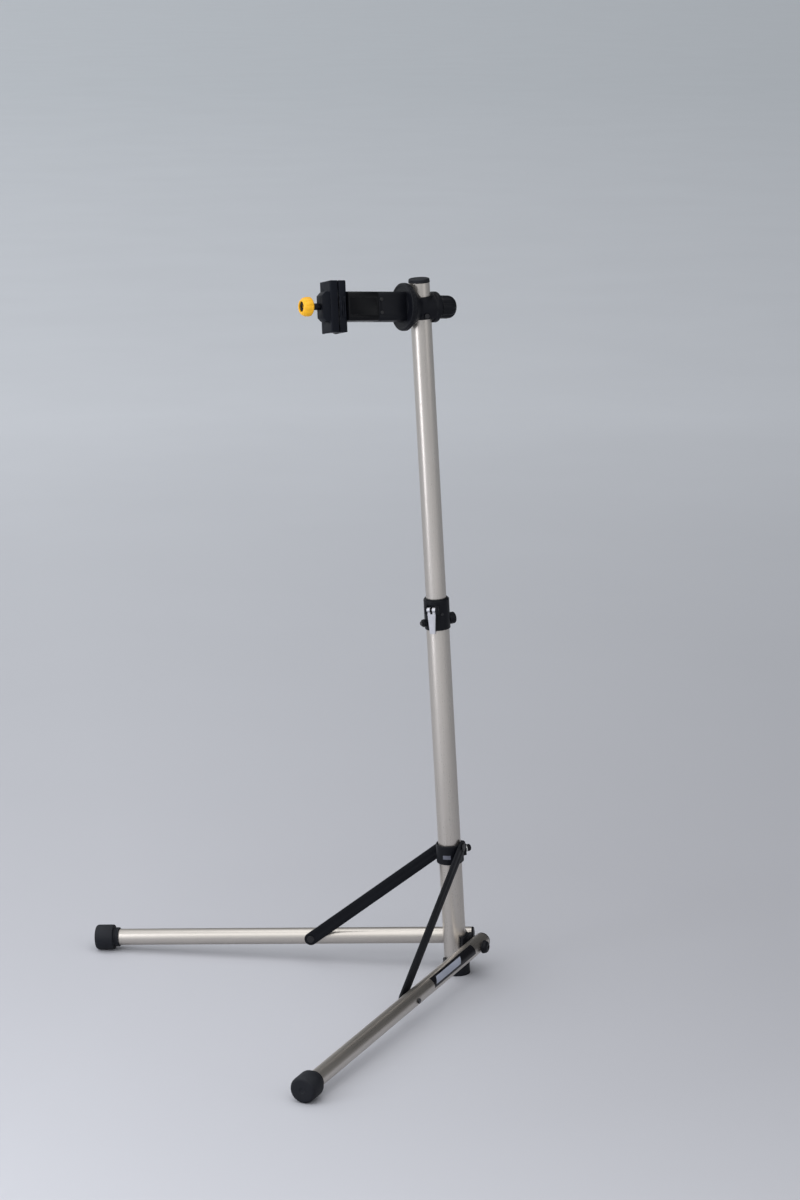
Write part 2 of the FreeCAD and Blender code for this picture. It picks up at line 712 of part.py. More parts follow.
def make_height_clamp():
    bottom = S["clamp_bottom"]
    height = S["clamp_height"]
    top = bottom + height
    liner_radius = MAST_RADIUS + S["slide_gap"] + 1.4
    outline = [(0, bottom), (S["clamp_radius"], bottom), (S["clamp_radius"], top), (0, top)]
    barrel = turned(outline, rounds=[(S["clamp_radius"], top, 1.6), (S["clamp_radius"], bottom, 1.0)])
    boss_root = POST_RADIUS + 1.0
    bosses = []
    bores = []
    screws = []
    for azimuth, boss_end, boss_radius in ((FRONT, 38.0, 8.5), (BACK, 42.0, 13.0)):
        blank = turned([(0, 0), (boss_radius, 0), (boss_radius, boss_end - boss_root), (0, boss_end - boss_root)],
                       rounds=[(boss_radius, boss_end - boss_root, 2.5)])
        blank.Placement = radial(azimuth, boss_root, S["clamp_screw_height"])
        bosses.append(blank)
        bore_start = radial(azimuth, POST_RADIUS - 1.0, S["clamp_screw_height"])
        bores.append(cylinder(FIXING_RADIUS, 30.0, bore_start))
        fixing = screw(FIXING_RADIUS, boss_end - number(POST_RADIUS) + number(S["post_wall"]) - 0.2, 5.0, 3.5)
        fixing.Placement = radial(azimuth, boss_end, S["clamp_screw_height"])
        screws.append(fixing)
    side_azimuth = 86.0
    side_height = 843.5
    side_seat = number(S["clamp_radius"]) - 0.6
    bores.append(cylinder(3.0, 10.0, radial(side_azimuth, side_seat, side_height)))
    bores.append(cylinder(1.2, 4.0, radial(side_azimuth, side_seat - 1.5, side_height)))
    small = screw(1.2, 1.5, 3.0, 1.3, 0.4)
    small.Placement = radial(side_azimuth, side_seat, side_height)
    screws.append(small)
    lever_side = turned_about(Z_AXIS, S["lever_azimuth"])
    pin_radius = S["lever_pin_radius"]
    pin_height = S["lever_pin_height"]
    ear_depth = 18.0
    ear_width = S["lever_width"] + 13.0
    slot_width = S["lever_width"] + S["slide_gap"] * 2
    ear_middle = number(pin_radius) + 4.0 - ear_depth / 2
    ears = centred_box(ear_depth, ear_width, 18.0, lever_side.multiply(at(ear_middle, 0, pin_height)))
    ears = rounded(ears, 3.0, along_z)
    slot_place = lever_side.multiply(at(number(pin_radius) + 2.0, 0, pin_height))
    slot = centred_box(20.0, slot_width, 40.0, slot_place)
    pin_place = lever_side.multiply(aimed(pin_radius, 0, pin_height, Y_AXIS))
    pin_bore = centred_cylinder(LEVER_PIN_RADIUS, ear_width * 2, pin_place)
    shoe_middle = lever_side.multiply(at(26.0, 0, pin_height))
    shoe_room = centred_box(20.0, SHOE_WIDTH, SHOE_HEIGHT, shoe_middle)
    liner_bore = cylinder(liner_radius, height * 2, at(0, 0, bottom - height / 2))
    foot_bore = cylinder(POST_RADIUS, height, at(0, 0, S["post_top"] - height))
    blank = cut(fuse(barrel, *bosses, ears), liner_bore)
    node("height_clamp", cut(blank, foot_bore, *bores, slot, pin_bore, shoe_room), POST)
    node("clamp_screws", group(*screws), POST)
    node("lever_pin", centred_cylinder(LEVER_PIN_RADIUS, ear_width + 1.0, pin_place), POST)

    lip = 2.5
    lip_radius = liner_radius + 1.8
    outline = [
        (MAST_RADIUS + S["slide_gap"], S["post_top"]),
        (liner_radius, S["post_top"]),
        (liner_radius, top),
        (lip_radius, top),
        (lip_radius, top + lip),
        (MAST_RADIUS + S["slide_gap"], top + lip),
    ]
    liner = turned(outline, chamfers=[(lip_radius, top + lip, 0.8)])
    window = centred_box(20.0, SHOE_WIDTH, SHOE_HEIGHT, shoe_middle)
    node("clamp_liner", cut(liner, window), POST)

    shoe_outer = 30.2
    shoe_depth = 10.0
    shoe_play = S["slide_gap"] * 2
    shoe_inner = MAST_RADIUS + S["slide_gap"]
    block_place = lever_side.multiply(at(shoe_outer - shoe_depth / 2, 0, pin_height))
    block = centred_box(shoe_depth, SHOE_WIDTH - shoe_play, SHOE_HEIGHT - shoe_play, block_place)
    node("pressure_shoe", cut(block, cylinder(shoe_inner, 60.0, at(0, 0, number(pin_height) - 30.0))), POST)

    cam_radius = 5.5
    half = S["lever_width"] / 2
    tip_half = S["lever_tip_width"] / 2
    drop = S["lever_length"]
    outline = [(-half, 0), (-half, -8.0), (-tip_half, -drop), (tip_half, -drop), (half, -8.0), (half, 0)]
    blade = rounded(padded([outline], S["lever_thickness"], "YZ_Plane"), 1.2, crosswise)
    cam = centred_cylinder(cam_radius, S["lever_width"], aimed(0, 0, 0, Y_AXIS))
    bore = centred_cylinder(LEVER_PIN_RADIUS + S["pin_gap"], S["lever_width"] * 2, aimed(0, 0, 0, Y_AXIS))
    notch_width = 5.5
    notch_depth = 9.0
    notch = centred_box(cam_radius * 3, notch_width, notch_depth * 2, at(0, 0, 0))
    lever = cut(fuse(blade, cam), bore, notch)
    node("height_lever", lever, POST.multiply(lever_side).multiply(at(pin_radius, 0, pin_height)))


# ---------------------------------------------------------------- mast and head

HEAD_BOLT_RADIUS = 3.0
HEAD_BOLT_DROP = 17.0
HEAD_BOLT_SEAT = 25.5


def make_mast():
    glide = [
        (MAST_RADIUS + S["pin_gap"], S["mast_bottom"] + 2.0),
        (POST_RADIUS - S["post_wall"] - S["pin_gap"], S["mast_bottom"] + 2.0),
        (POST_RADIUS - S["post_wall"] - S["pin_gap"], S["mast_bottom"] + 40.0),
        (MAST_RADIUS + S["pin_gap"], S["mast_bottom"] + 40.0),
    ]
    node("mast_glide", turned(glide), POST)

    length = S["mast_top"] - S["mast_bottom"]
    body = tube(MAST_RADIUS, S["mast_wall"], length, at(0, 0, S["mast_bottom"]))
    arm_line = at(0, 0, S["head_height"]).multiply(turned_about(Y_AXIS, -number(S["arm_rise"])))
    spindle_bore = centred_cylinder(S["spindle_radius"] + S["pin_gap"] * 2, 80.0,
                                    arm_line.multiply(aimed(0, 0, 0, X_AXIS)))
    bolt_height = number(S["head_height"]) - HEAD_BOLT_DROP
    bolt_bore = centred_cylinder(HEAD_BOLT_RADIUS, 80.0, aimed(0, 0, bolt_height, Y_AXIS))
    node("mast_tube", cut(body, spindle_bore, bolt_bore), POST)

    cap_radius = MAST_RADIUS + 0.5
    cap_height = 8.3
    plug_depth = 14.0
    plug_radius = MAST_RADIUS - S["mast_wall"]
    outline = [
        (0, -plug_depth),
        (plug_radius, -plug_depth),
        (plug_radius, 0),
        (cap_radius, 0),
        (cap_radius, cap_height),
        (0, cap_height),
    ]
    cap = turned(outline, rounds=[(cap_radius, cap_height, 2.0)])
    node("mast_cap", cap, POST.multiply(at(0, 0, S["mast_top"])))


def make_housing():
    """The head housing, turned about the arm's axis, with the mast passing across it."""
    rear = -38.0
    bore = S["spindle_radius"] + S["pin_gap"] * 2
    outline = [
        (0, rear),
        (33.0, rear),
        (33.0, -27.0),
        (S["housing_radius"], -24.5),
        (S["housing_radius"], 10.0),
        (S["housing_flare"], S["housing_front"] - 4.0),
        (S["housing_flare"], S["housing_front"]),
        (0, S["housing_front"]),
    ]
    rounds = [(33.0, rear, 3.0), (S["housing_radius"], 10.0, 4.0), (S["housing_radius"], -24.5, 2.0)]
    barrel = turned(outline, rounds=rounds)
    barrel.Placement = aimed(0, 0, 0, X_AXIS)
    upright = turned_about(Y_AXIS, S["arm_rise"])
    sleeve = tube(27.2, 27.2 - MAST_RADIUS, 48.0, upright.multiply(at(0, 0, -24.0)))
    mast_bore = centred_cylinder(MAST_RADIUS, 160.0, upright)
    bolt_line = upright.multiply(aimed(0, 0, -HEAD_BOLT_DROP, Y_AXIS))
    seats = [cylinder(6.3, 20.0, upright.multiply(aimed(0, y * HEAD_BOLT_SEAT, -HEAD_BOLT_DROP, Y_AXIS * y)))
             for y in (1, -1)]
    bolt_bore = centred_cylinder(HEAD_BOLT_RADIUS, 120.0, bolt_line)
    through = centred_cylinder(bore, 120.0, aimed(0, 0, 0, X_AXIS))
    blank = cut(fuse(cut(barrel, mast_bore), sleeve), through)
    node("head_housing", cut(blank, bolt_bore, *seats), HEAD)

    def seat(y):
        return HEAD.multiply(upright).multiply(aimed(0, y * HEAD_BOLT_SEAT, -HEAD_BOLT_DROP, Y_AXIS * y))

    bolt = screw(HEAD_BOLT_RADIUS, HEAD_BOLT_SEAT * 2 + 6.0, 5.5, 4.0)
    node("head_bolt", bolt, seat(1))
    nut = cut(hexagon(11.5, 5.0), cylinder(HEAD_BOLT_RADIUS, 5.0))
    node("head_nut", nut, seat(-1))

    washer_depth = 2.0
    place = HEAD.multiply(aimed(rear, 0, 0, -X_AXIS))
    washer = cut(cylinder(16.0, washer_depth), cylinder(bore, washer_depth))
    node("thrust_washer", washer, place)

    knob_gap = washer_depth + number(S["slide_gap"])
    depth = 40.5
    insert_radius = 9.0
    insert_depth = 26.0
    outline = [
        (insert_radius, knob_gap),
        (S["rear_knob_radius"] - 3.0, knob_gap),
        (S["rear_knob_radius"], knob_gap + 3.0),
        (S["rear_knob_radius"], knob_gap + depth - 12.0),
        (S["rear_knob_radius"] - 4.0, knob_gap + depth - 4.0),
        (S["rear_knob_radius"] - 13.0, knob_gap + depth),
        (0, knob_gap + depth),
        (0, knob_gap + insert_depth),
        (insert_radius, knob_gap + insert_depth),
    ]
    knob_rounds = [(S["rear_knob_radius"], knob_gap + depth - 12.0, 6.0)]
    knob = turned(outline, rounds=knob_rounds)
    flutes = []
    count = 10
    for i in range(count):
        angle = 2 * math.pi * i / count
        reach = number(S["rear_knob_radius"]) + 3.0
        flutes.append(cylinder(5.0, 80.0, at(reach * math.cos(angle), reach * math.sin(angle), -20.0)))
    node("tension_knob", cut(knob, *flutes), place)
    insert = cut(cylinder(insert_radius, insert_depth - 2.0), cylinder(S["spindle_radius"] + S["pin_gap"],
                                                                    insert_depth - 2.0))
    node("tension_knob_insert", insert, place.multiply(at(0, 0, knob_gap)))


# ---------------------------------------------------------------- arm


def along_arm(position):
    """A placement on the arm's axis, whose Z axis points to the jaws."""
    return ARM.multiply(aimed(position, 0, 0, X_AXIS))


def hollow_box(start, end, width, height, wall, back_wall, front_wall, corner):
    """A box section along X with rounded long edges, and with end walls where they have a thickness."""
    length = end - start
    middle = (number(start) + number(end)) / 2
    shell = rounded(centred_box(length, width, height, at(middle, 0, 0)), corner, along_x)
    room_start = start + back_wall
    room_length = length - back_wall - front_wall
    if not number(front_wall):
        room_length = room_length + 1.0
    if not number(back_wall):
        room_start = room_start - 1.0
        room_length = room_length + 1.0
    room_middle = number(room_start) + number(room_length) / 2
    room = centred_box(room_length, width - wall * 2, height - wall * 2, at(room_middle, 0, 0))
    return cut(shell, rounded(room, number(corner) - number(wall) + 1.0, along_x))


ARM_SCREW_RADIUS = 2.0
ARM_SCREW_PLACE = 106.0
ARM_SCREW_RISE = 14.0


def make_arm():
    edge = 1.5
    depth = S["arm_start"] - S["disc_back"]
    bore = S["spindle_radius"]
    outline = [(bore, 0), (S["disc_radius"], 0), (S["disc_radius"], depth), (bore, depth)]
    marks = [(S["disc_radius"], 0, edge), (S["disc_radius"], depth, edge)]
    node("index_disc", turned(outline, chamfers=marks), along_arm(S["disc_back"]))

    back_wall = 6.0
    shell = hollow_box(S["arm_start"], S["arm_split"], S["arm_width"], S["arm_height"], S["arm_wall"],
                       back_wall, 0, 8.0)
    spindle_bore = cylinder(bore, 30.0, aimed(number(S["arm_start"]) - 10.0, 0, 0, X_AXIS))
    screw_bores = [
        cylinder(ARM_SCREW_RADIUS, 14.0, aimed(ARM_SCREW_PLACE, 12.0, side * ARM_SCREW_RISE, Y_AXIS))
        for _, side in SIDES
    ]
    node("arm_body", cut(shell, spindle_bore, *screw_bores), ARM)

    head_depth = 8.0
    seat = number(S["arm_start"]) + back_wall
    tail = 62.0
    shaft = cylinder(S["spindle_radius"], seat + tail)
    head = hexagon(22.0, head_depth, at(0, 0, seat + tail))
    node("arm_spindle", fuse(shaft, head), along_arm(-tail))

    front_wall = 8.0
    shell = hollow_box(S["arm_split"], S["jaw_start"], S["arm_width"], S["arm_height"], S["arm_wall"], 0,
                       front_wall, 8.0)
    panel_depth = 1.2
    panel_start = number(S["arm_split"]) + 5.0
    panel_end = number(S["jaw_start"]) - 3.0
    panels = []
    for _, side in SIDES:
        middle = side * number(S["arm_width"]) / 2
        panel_place = at((panel_start + panel_end) / 2, middle, 0)
        panels.append(centred_box(panel_end - panel_start, panel_depth * 2, 35.0, panel_place))
    shell = cut(shell, *panels)
    spigot_length = 12.0
    inner_width = S["arm_width"] - S["arm_wall"] * 2
    inner_height = S["arm_height"] - S["arm_wall"] * 2
    spigot_place = at(number(S["arm_split"]) - spigot_length / 2 + 2.0, 0, 0)
    spigot = rounded(centred_box(spigot_length + 4.0, inner_width, inner_height, spigot_place), 5.0, along_x)
    spigot_room = centred_box(spigot_length + 6.0, inner_width - 6.0, inner_height - 6.0, spigot_place)
    ring = cut(spigot, rounded(spigot_room, 4.0, along_x))
    screw_bores = [
        cylinder(ARM_SCREW_RADIUS, 14.0, aimed(ARM_SCREW_PLACE, 12.0, side * ARM_SCREW_RISE, Y_AXIS))
        for _, side in SIDES
    ]
    front = number(S["jaw_start"]) - 20.0
    bores = [cylinder(S["screw_radius"] + S["slide_gap"], 40.0, aimed(front, 0, 0, X_AXIS))]
    for _, side in SIDES:
        rise = side * number(S["rod_spacing"])
        bores.append(cylinder(S["rod_radius"] + S["pin_gap"], 40.0, aimed(front, 0, rise, X_AXIS)))
        bore_start = aimed(front, JAW_SCREW_SHIFT, side * JAW_SCREW_RISE, X_AXIS)
        bores.append(cylinder(JAW_SCREW_RADIUS, 40.0, bore_start))
    node("jaw_carrier", cut(fuse(shell, ring), *bores, *screw_bores), ARM)

    screws = []
    for _, side in SIDES:
        small = screw(ARM_SCREW_RADIUS, 6.5, 3.6, 2.0, 0.8)
        small.Placement = aimed(ARM_SCREW_PLACE, number(S["arm_width"]) / 2, side * ARM_SCREW_RISE, Y_AXIS)
        screws.append(small)
    node("arm_screws", group(*screws), ARM)

    nut_depth = 10.0
    place = along_arm(number(S["jaw_start"]) - front_wall - nut_depth)
    nut = cut(hexagon(22.0, nut_depth), cylinder(S["screw_radius"] + S["pin_gap"], nut_depth))
    node("clamp_nut", nut, place)


# ---------------------------------------------------------------- jaws

JAW_SCREW_RADIUS = 2.5
JAW_SCREW_SHIFT = 8.3
JAW_SCREW_RISE = 9.0
JAW_CORNER = 6.0
PAD_MARGIN = 1.0


def jaw_block(start):
    """One jaw's block with a round groove along its height."""
    width = S["jaw_front"] + S["jaw_back"]
    middle = (number(S["jaw_back"]) - number(S["jaw_front"])) / 2
    place = at(number(start) + number(S["jaw_thickness"]) / 2, middle, 0)
    block = centred_box(S["jaw_thickness"], width, S["jaw_height"], place)

    def outside_corner(edge):
        away = [abs(vertex.X - groove_centre()) > number(S["jaw_gap"]) for vertex in edge.Vertexes]
        return all(away)

    return rounded(block, JAW_CORNER / 2, outside_corner)


def groove_centre():
    return number(S["jaw_start"]) + number(S["jaw_thickness"]) + number(S["jaw_gap"]) / 2


def groove_cylinder(radius, length):
    return centred_cylinder(radius, length, at(groove_centre(), -number(S["groove_offset"]), 0))


def pad(start):
    """The rubber lining of one jaw's groove."""
    length = S["jaw_height"] - PAD_MARGIN * 2
    lining = cut(groove_cylinder(S["groove_radius"], length),
                 groove_cylinder(S["groove_radius"] - S["pad_thickness"], S["jaw_height"] * 2))
    width = S["jaw_front"] + S["jaw_back"]
    middle = (number(S["jaw_back"]) - number(S["jaw_front"])) / 2
    place = at(number(start) + number(S["jaw_thickness"]) / 2, middle, 0)
    return common(lining, centred_box(S["jaw_thickness"], width, S["jaw_height"], place))


def make_fixed_jaw():
    start = S["jaw_start"]
    bores = [
        groove_cylinder(S["groove_radius"], S["jaw_height"] * 2),
        cylinder(S["screw_radius"] + S["slide_gap"], 60.0, aimed(number(start) - 10.0, 0, 0, X_AXIS)),
    ]
    screws = []
    face = number(start) + number(S["jaw_thickness"])
    head_depth = 3.0
    for _, side in SIDES:
        rise = side * number(S["rod_spacing"])
        rod_line = aimed(number(start) - 10.0, 0, rise, X_AXIS)
        bores.append(cylinder(S["rod_radius"] + S["pin_gap"], 60.0, rod_line))
        low = aimed(face - head_depth - 20.0, JAW_SCREW_SHIFT, side * JAW_SCREW_RISE, X_AXIS)
        bores.append(cylinder(JAW_SCREW_RADIUS, 60.0, low))
        seat = aimed(face - head_depth, JAW_SCREW_SHIFT, side * JAW_SCREW_RISE, X_AXIS)
        bores.append(cylinder(4.2, 20.0, seat))
        fixing = screw(JAW_SCREW_RADIUS, 20.0, 4.2, head_depth - 0.5, 0.5)
        fixing.Placement = seat
        screws.append(fixing)
    ribs = []
    rib_count = 3
    rib_pitch = 4.5
    for i in range(rib_count):
        x = number(start) + 5.5 + rib_pitch * i
        ribs.append(centred_box(2.4, 4.0, 42.0, at(x, number(S["jaw_back"]) + 0.8, 0)))
    node("fixed_jaw", cut(fuse(jaw_block(start), *ribs), *bores), ARM)
    node("jaw_screws", group(*screws), ARM)
    node("fixed_jaw_pad", pad(start), ARM)


def make_moving_jaw():
    start = S["jaw_start"] + S["jaw_thickness"] + S["jaw_gap"]
    back = start + S["jaw_thickness"]
    screw_bore = cylinder(S["screw_radius"] + S["slide_gap"], 60.0, aimed(number(start) - 10.0, 0, 0, X_AXIS))
    bores = [groove_cylinder(S["groove_radius"], S["jaw_height"] * 2), screw_bore]
    rods = []
    rod_start = 130.0
    rod_end = number(back) + 6.0
    for _, side in SIDES:
        rise = side * number(S["rod_spacing"])
        bores.append(cylinder(S["rod_radius"], 60.0, aimed(number(start) - 10.0, 0, rise, X_AXIS)))
        rods.append(cylinder(S["rod_radius"], rod_end - rod_start, aimed(rod_start, 0, rise, X_AXIS)))
    node("moving_jaw", cut(jaw_block(start), *bores), ARM)
    node("guide_rods", group(*rods), ARM)
    node("moving_jaw_pad", pad(start), ARM)

    half = S["end_plate_height"] / 2
    depth = S["end_plate_depth"]
    slope = 8.0
    outline = [
        (back, -half),
        (back + depth - slope, -half),
        (back + depth, -half + slope),
        (back + depth, half - slope),
        (back + depth - slope, half),
        (back, half),
    ]
    plate = padded([outline], S["end_plate_width"], "XZ_Plane")
    bores = [cylinder(S["screw_radius"] + S["slide_gap"], 60.0, aimed(number(back) - 10.0, 0, 0, X_AXIS))]
    for _, side in SIDES:
        rise = side * number(S["rod_spacing"])
        bores.append(cylinder(S["rod_radius"], rod_end - number(back), aimed(back, 0, rise, X_AXIS)))
    node("jaw_end_plate", cut(plate, *bores), ARM)


def make_clamp_knob():
    screw_start = 128.0
    socket = 14.0
    end = number(S["knob_start"]) + socket
    node("clamp_screw", cylinder(S["screw_radius"], end - screw_start), along_arm(screw_start))

    plate_face = S["jaw_start"] + S["jaw_thickness"] * 2 + S["jaw_gap"] + S["end_plate_depth"]
    sleeve_start = number(plate_face) + number(S["slide_gap"])
    sleeve_length = number(S["knob_start"]) - sleeve_start
    sleeve = cut(cylinder(7.0, sleeve_length), cylinder(S["screw_radius"], sleeve_length))
    node("thrust_sleeve", sleeve, along_arm(sleeve_start))

    depth = S["knob_depth"]
    radius = S["knob_radius"]
    recess = 6.0
    recess_radius = 11.0
    outline = [
        (S["screw_radius"], 0),
        (radius - 3.0, 0),
        (radius, 3.0),
        (radius, depth - 9.0),
        (radius - 3.0, depth - 3.0),
        (radius - 6.5, depth),
        (recess_radius, depth),
        (recess_radius, depth - recess),
        (0, depth - recess),
        (0, socket),
        (S["screw_radius"], socket),
    ]
    knob = turned(outline, rounds=[(radius, depth - 9.0, 5.0)])
    flutes = []
    count = 12
    for i in range(count):
        angle = 2 * math.pi * i / count
        reach = number(radius) + 2.6
        flutes.append(cylinder(3.6, 60.0, at(reach * math.cos(angle), reach * math.sin(angle), -10.0)))
    node("clamp_knob", cut(knob, *flutes), along_arm(S["knob_start"]))
    plug = cut(cylinder(recess_radius, 3.0), hexagon(9.0, 3.0))
    node("knob_plug", plug, along_arm(number(S["knob_start"]) + number(depth) - recess))


# ---------------------------------------------------------------- the whole stand


def build():
    make_lower_tube()
    make_post_foot()
    make_hub_bracket()
    make_hub_fasteners()
    make_leg_pivots()
    for name, side in SIDES:
        make_leg(name, side)
        make_brace_mounts(name, side)
        make_brace(name, side)
    make_collar()
    make_height_clamp()
    make_mast()
    make_housing()
    make_arm()
    make_fixed_jaw()
    make_moving_jaw()
    make_clamp_knob()


def check():
    doc.recompute()
    for thing in doc.Objects:
        if "Invalid" in thing.State or "Error" in thing.State:
            raise RuntimeError(f"{thing.Label} failed: {thing.State}")
    for name, thing in nodes.items():
        if thing.Shape.isNull() or not thing.Shape.isValid():
            raise RuntimeError(f"{name} has no valid shape")


def export():
    os.makedirs("parts", exist_ok=True)
    for name, thing in nodes.items():
        thing.Shape.exportStep(f"parts/{name}.step")
        print(f"{name}: {len(thing.Shape.Solids)} solids, {thing.Shape.Volume / 1000:.1f} cm3")


build()
check()
export()
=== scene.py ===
import json
import math

import bmesh
import bpy
import numpy as np
from mathutils import Matrix, Vector

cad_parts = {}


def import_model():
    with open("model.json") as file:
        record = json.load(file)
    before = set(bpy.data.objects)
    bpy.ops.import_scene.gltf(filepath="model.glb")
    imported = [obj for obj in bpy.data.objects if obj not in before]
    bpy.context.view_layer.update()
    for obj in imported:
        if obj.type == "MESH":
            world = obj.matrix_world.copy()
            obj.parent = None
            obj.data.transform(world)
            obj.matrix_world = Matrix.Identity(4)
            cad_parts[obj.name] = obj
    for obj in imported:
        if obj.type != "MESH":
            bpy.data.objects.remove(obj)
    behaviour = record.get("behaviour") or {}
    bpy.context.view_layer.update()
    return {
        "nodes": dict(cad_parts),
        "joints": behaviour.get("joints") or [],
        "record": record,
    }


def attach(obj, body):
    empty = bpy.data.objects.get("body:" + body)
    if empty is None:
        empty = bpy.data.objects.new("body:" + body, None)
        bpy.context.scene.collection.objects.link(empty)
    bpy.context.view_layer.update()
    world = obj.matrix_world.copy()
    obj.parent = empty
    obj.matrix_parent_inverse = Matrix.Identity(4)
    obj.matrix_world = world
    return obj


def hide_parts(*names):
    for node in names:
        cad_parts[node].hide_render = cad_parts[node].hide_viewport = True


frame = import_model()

# Bike repair stand, looks only. Many places and sizes are read from the imported nodes, joints and mounts.
# Lengths are in metres and angles in degrees unless a name says otherwise.

MM = 0.001
SIDES = ("left", "right")
RECORD = frame["record"]
JOINTS = {joint["name"]: joint for joint in frame["joints"]}
MOUNTS = {mount["name"]: mount for mount in RECORD["mounts"]}
BODY_OF = {node: body for body, nodes in RECORD["behaviour"]["bodies"].items() for node in nodes}
SLOT_OF = {part["node"]: part["material_slot"] for part in RECORD["subparts"]}


# ---------------------------------------------------------------- frames and measures


def joint_axis(name):
    return Vector(JOINTS[name]["axis"]).normalized()


def joint_place(name):
    return Vector(JOINTS[name]["pos_m"])


def axes(origin, along, side):
    """A matrix whose Z axis runs along a line and whose X axis lies as near as it can to side."""
    z = Vector(along).normalized()
    y = z.cross(Vector(side)).normalized()
    x = y.cross(z)
    matrix = Matrix((x, y, z)).transposed().to_4x4()
    matrix.translation = Vector(origin)
    return matrix


def local_points(node, matrix):
    """The node's vertices in a frame of its own, as rows of x, y, z."""
    mesh = frame["nodes"][node].data
    points = np.zeros(len(mesh.vertices) * 3)
    mesh.vertices.foreach_get("co", points)
    inverse = np.array(matrix.inverted())
    return points.reshape(-1, 3) @ inverse[:3, :3].T + inverse[:3, 3]


def reach(node, matrix):
    """Lowest and highest place of a node along the frame's Z axis, and its largest radius about it."""
    points = local_points(node, matrix)
    radii = np.hypot(points[:, 0], points[:, 1])
    return float(points[:, 2].min()), float(points[:, 2].max()), float(radii.max())


POST_UP = joint_axis("mast_swivel")
POST = axes((0, 0, 0), POST_UP, (1, 0, 0))
LEG = {}
for side in SIDES:
    fold = joint_axis(f"{side}_leg_fold")
    LEG[side] = axes(joint_place(f"{side}_leg_fold"), POST_UP.cross(fold), fold)
JAW_UP = Vector(MOUNTS["seatpost_clamp"]["axis"])
ARM = axes(joint_place("arm_turn"), joint_axis("arm_turn"), JAW_UP)


# ---------------------------------------------------------------- mesh code


def softened(corners, steps=5):
    """A profile line whose corners are rounded. Corners are (place, radius) or (place, radius, rounding)."""
    line = []
    for i, corner in enumerate(corners):
        here = Vector(corner[:2])
        size = corner[2] if len(corner) > 2 else 0.0
        if not size or i in (0, len(corners) - 1):
            line.append(here)
            continue
        before = (Vector(corners[i - 1][:2]) - here)
        after = (Vector(corners[i + 1][:2]) - here)
        size = min(size, before.length * 0.49, after.length * 0.49)
        start = here + before.normalized() * size
        end = here + after.normalized() * size
        for k in range(steps + 1):
            t = k / steps
            line.append(start * (1 - t) ** 2 + here * 2 * t * (1 - t) + end * t ** 2)
    return line


def lathe(corners, segments=96, shape=None):
    """A surface of revolution about Z. shape(angle, place, radius) may change the radius round the turn."""
    work = bmesh.new()
    rings = []
    for place, radius in softened(corners):
        if radius < 1e-6:
            rings.append([work.verts.new((0, 0, place))])
            continue
        ring = []
        for i in range(segments):
            angle = 2 * math.pi * i / segments
            r = shape(angle, place, radius) if shape else radius
            ring.append(work.verts.new((r * math.cos(angle), r * math.sin(angle), place)))
        rings.append(ring)
    for low, high in zip(rings, rings[1:]):
        count = max(len(low), len(high))
        if count == 1:
            continue
        for i in range(count):
            j = (i + 1) % count
            if len(low) == 1:
                work.faces.new((low[0], high[j], high[i]))
            elif len(high) == 1:
                work.faces.new((low[i], low[j], high[0]))
            else:
                work.faces.new((low[i], low[j], high[j], high[i]))
    bmesh.ops.recalc_face_normals(work, faces=work.faces)
    return work


def shade(work, limit=34.0):
    for face in work.faces:
        face.smooth = True
    for edge in work.edges:
        edge.smooth = len(edge.link_faces) == 2 and edge.calc_face_angle(0.0) < math.radians(limit)


def add_piece(name, work, matrix, node, finish, replaced=()):
    """Makes an object of a mesh that rides on the node's body and takes the given finish."""
    mesh = bpy.data.meshes.new(name)
    work.to_mesh(mesh)
    work.free()
    mesh.materials.append(finish)
    piece = bpy.data.objects.new(name, mesh)
    bpy.context.scene.collection.objects.link(piece)
    piece.matrix_world = matrix
    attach(piece, BODY_OF[node])
    if replaced:
        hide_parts(*replaced)
    return piece


def turned(name, corners, matrix, node, finish, segments=96, shape=None, replaced=None):
    work = lathe(corners, segments, shape)
    shade(work)
    return add_piece(name, work, matrix, node, finish, (node,) if replaced is None else replaced)


def fine_copy(node, finish, matrix, edge=0.5 * MM, steps=2, limit=28.0):
    """A finer piece in a node's place: its facets merged, its edges rounded and its curves smooth."""
    work = bmesh.new()
    work.from_mesh(frame["nodes"][node].data)
    work.transform(matrix.inverted())
    bmesh.ops.remove_doubles(work, verts=work.verts, dist=1e-5)
    bmesh.ops.dissolve_limit(
        work, angle_limit=math.radians(0.6), use_dissolve_boundaries=False, verts=work.verts, edges=work.edges
    )
    if edge:
        sharp = [
            line for line in work.edges
            if len(line.link_faces) == 2 and line.calc_face_angle(0.0) > math.radians(limit)
        ]
        bmesh.ops.bevel(
            work, geom=sharp, offset=edge, offset_type="OFFSET", segments=steps, profile=0.5,
            affect="EDGES", clamp_overlap=True,
        )
    shade(work)
    return add_piece(f"{node}_skin", work, matrix, node, finish, (node,))


# ---------------------------------------------------------------- materials


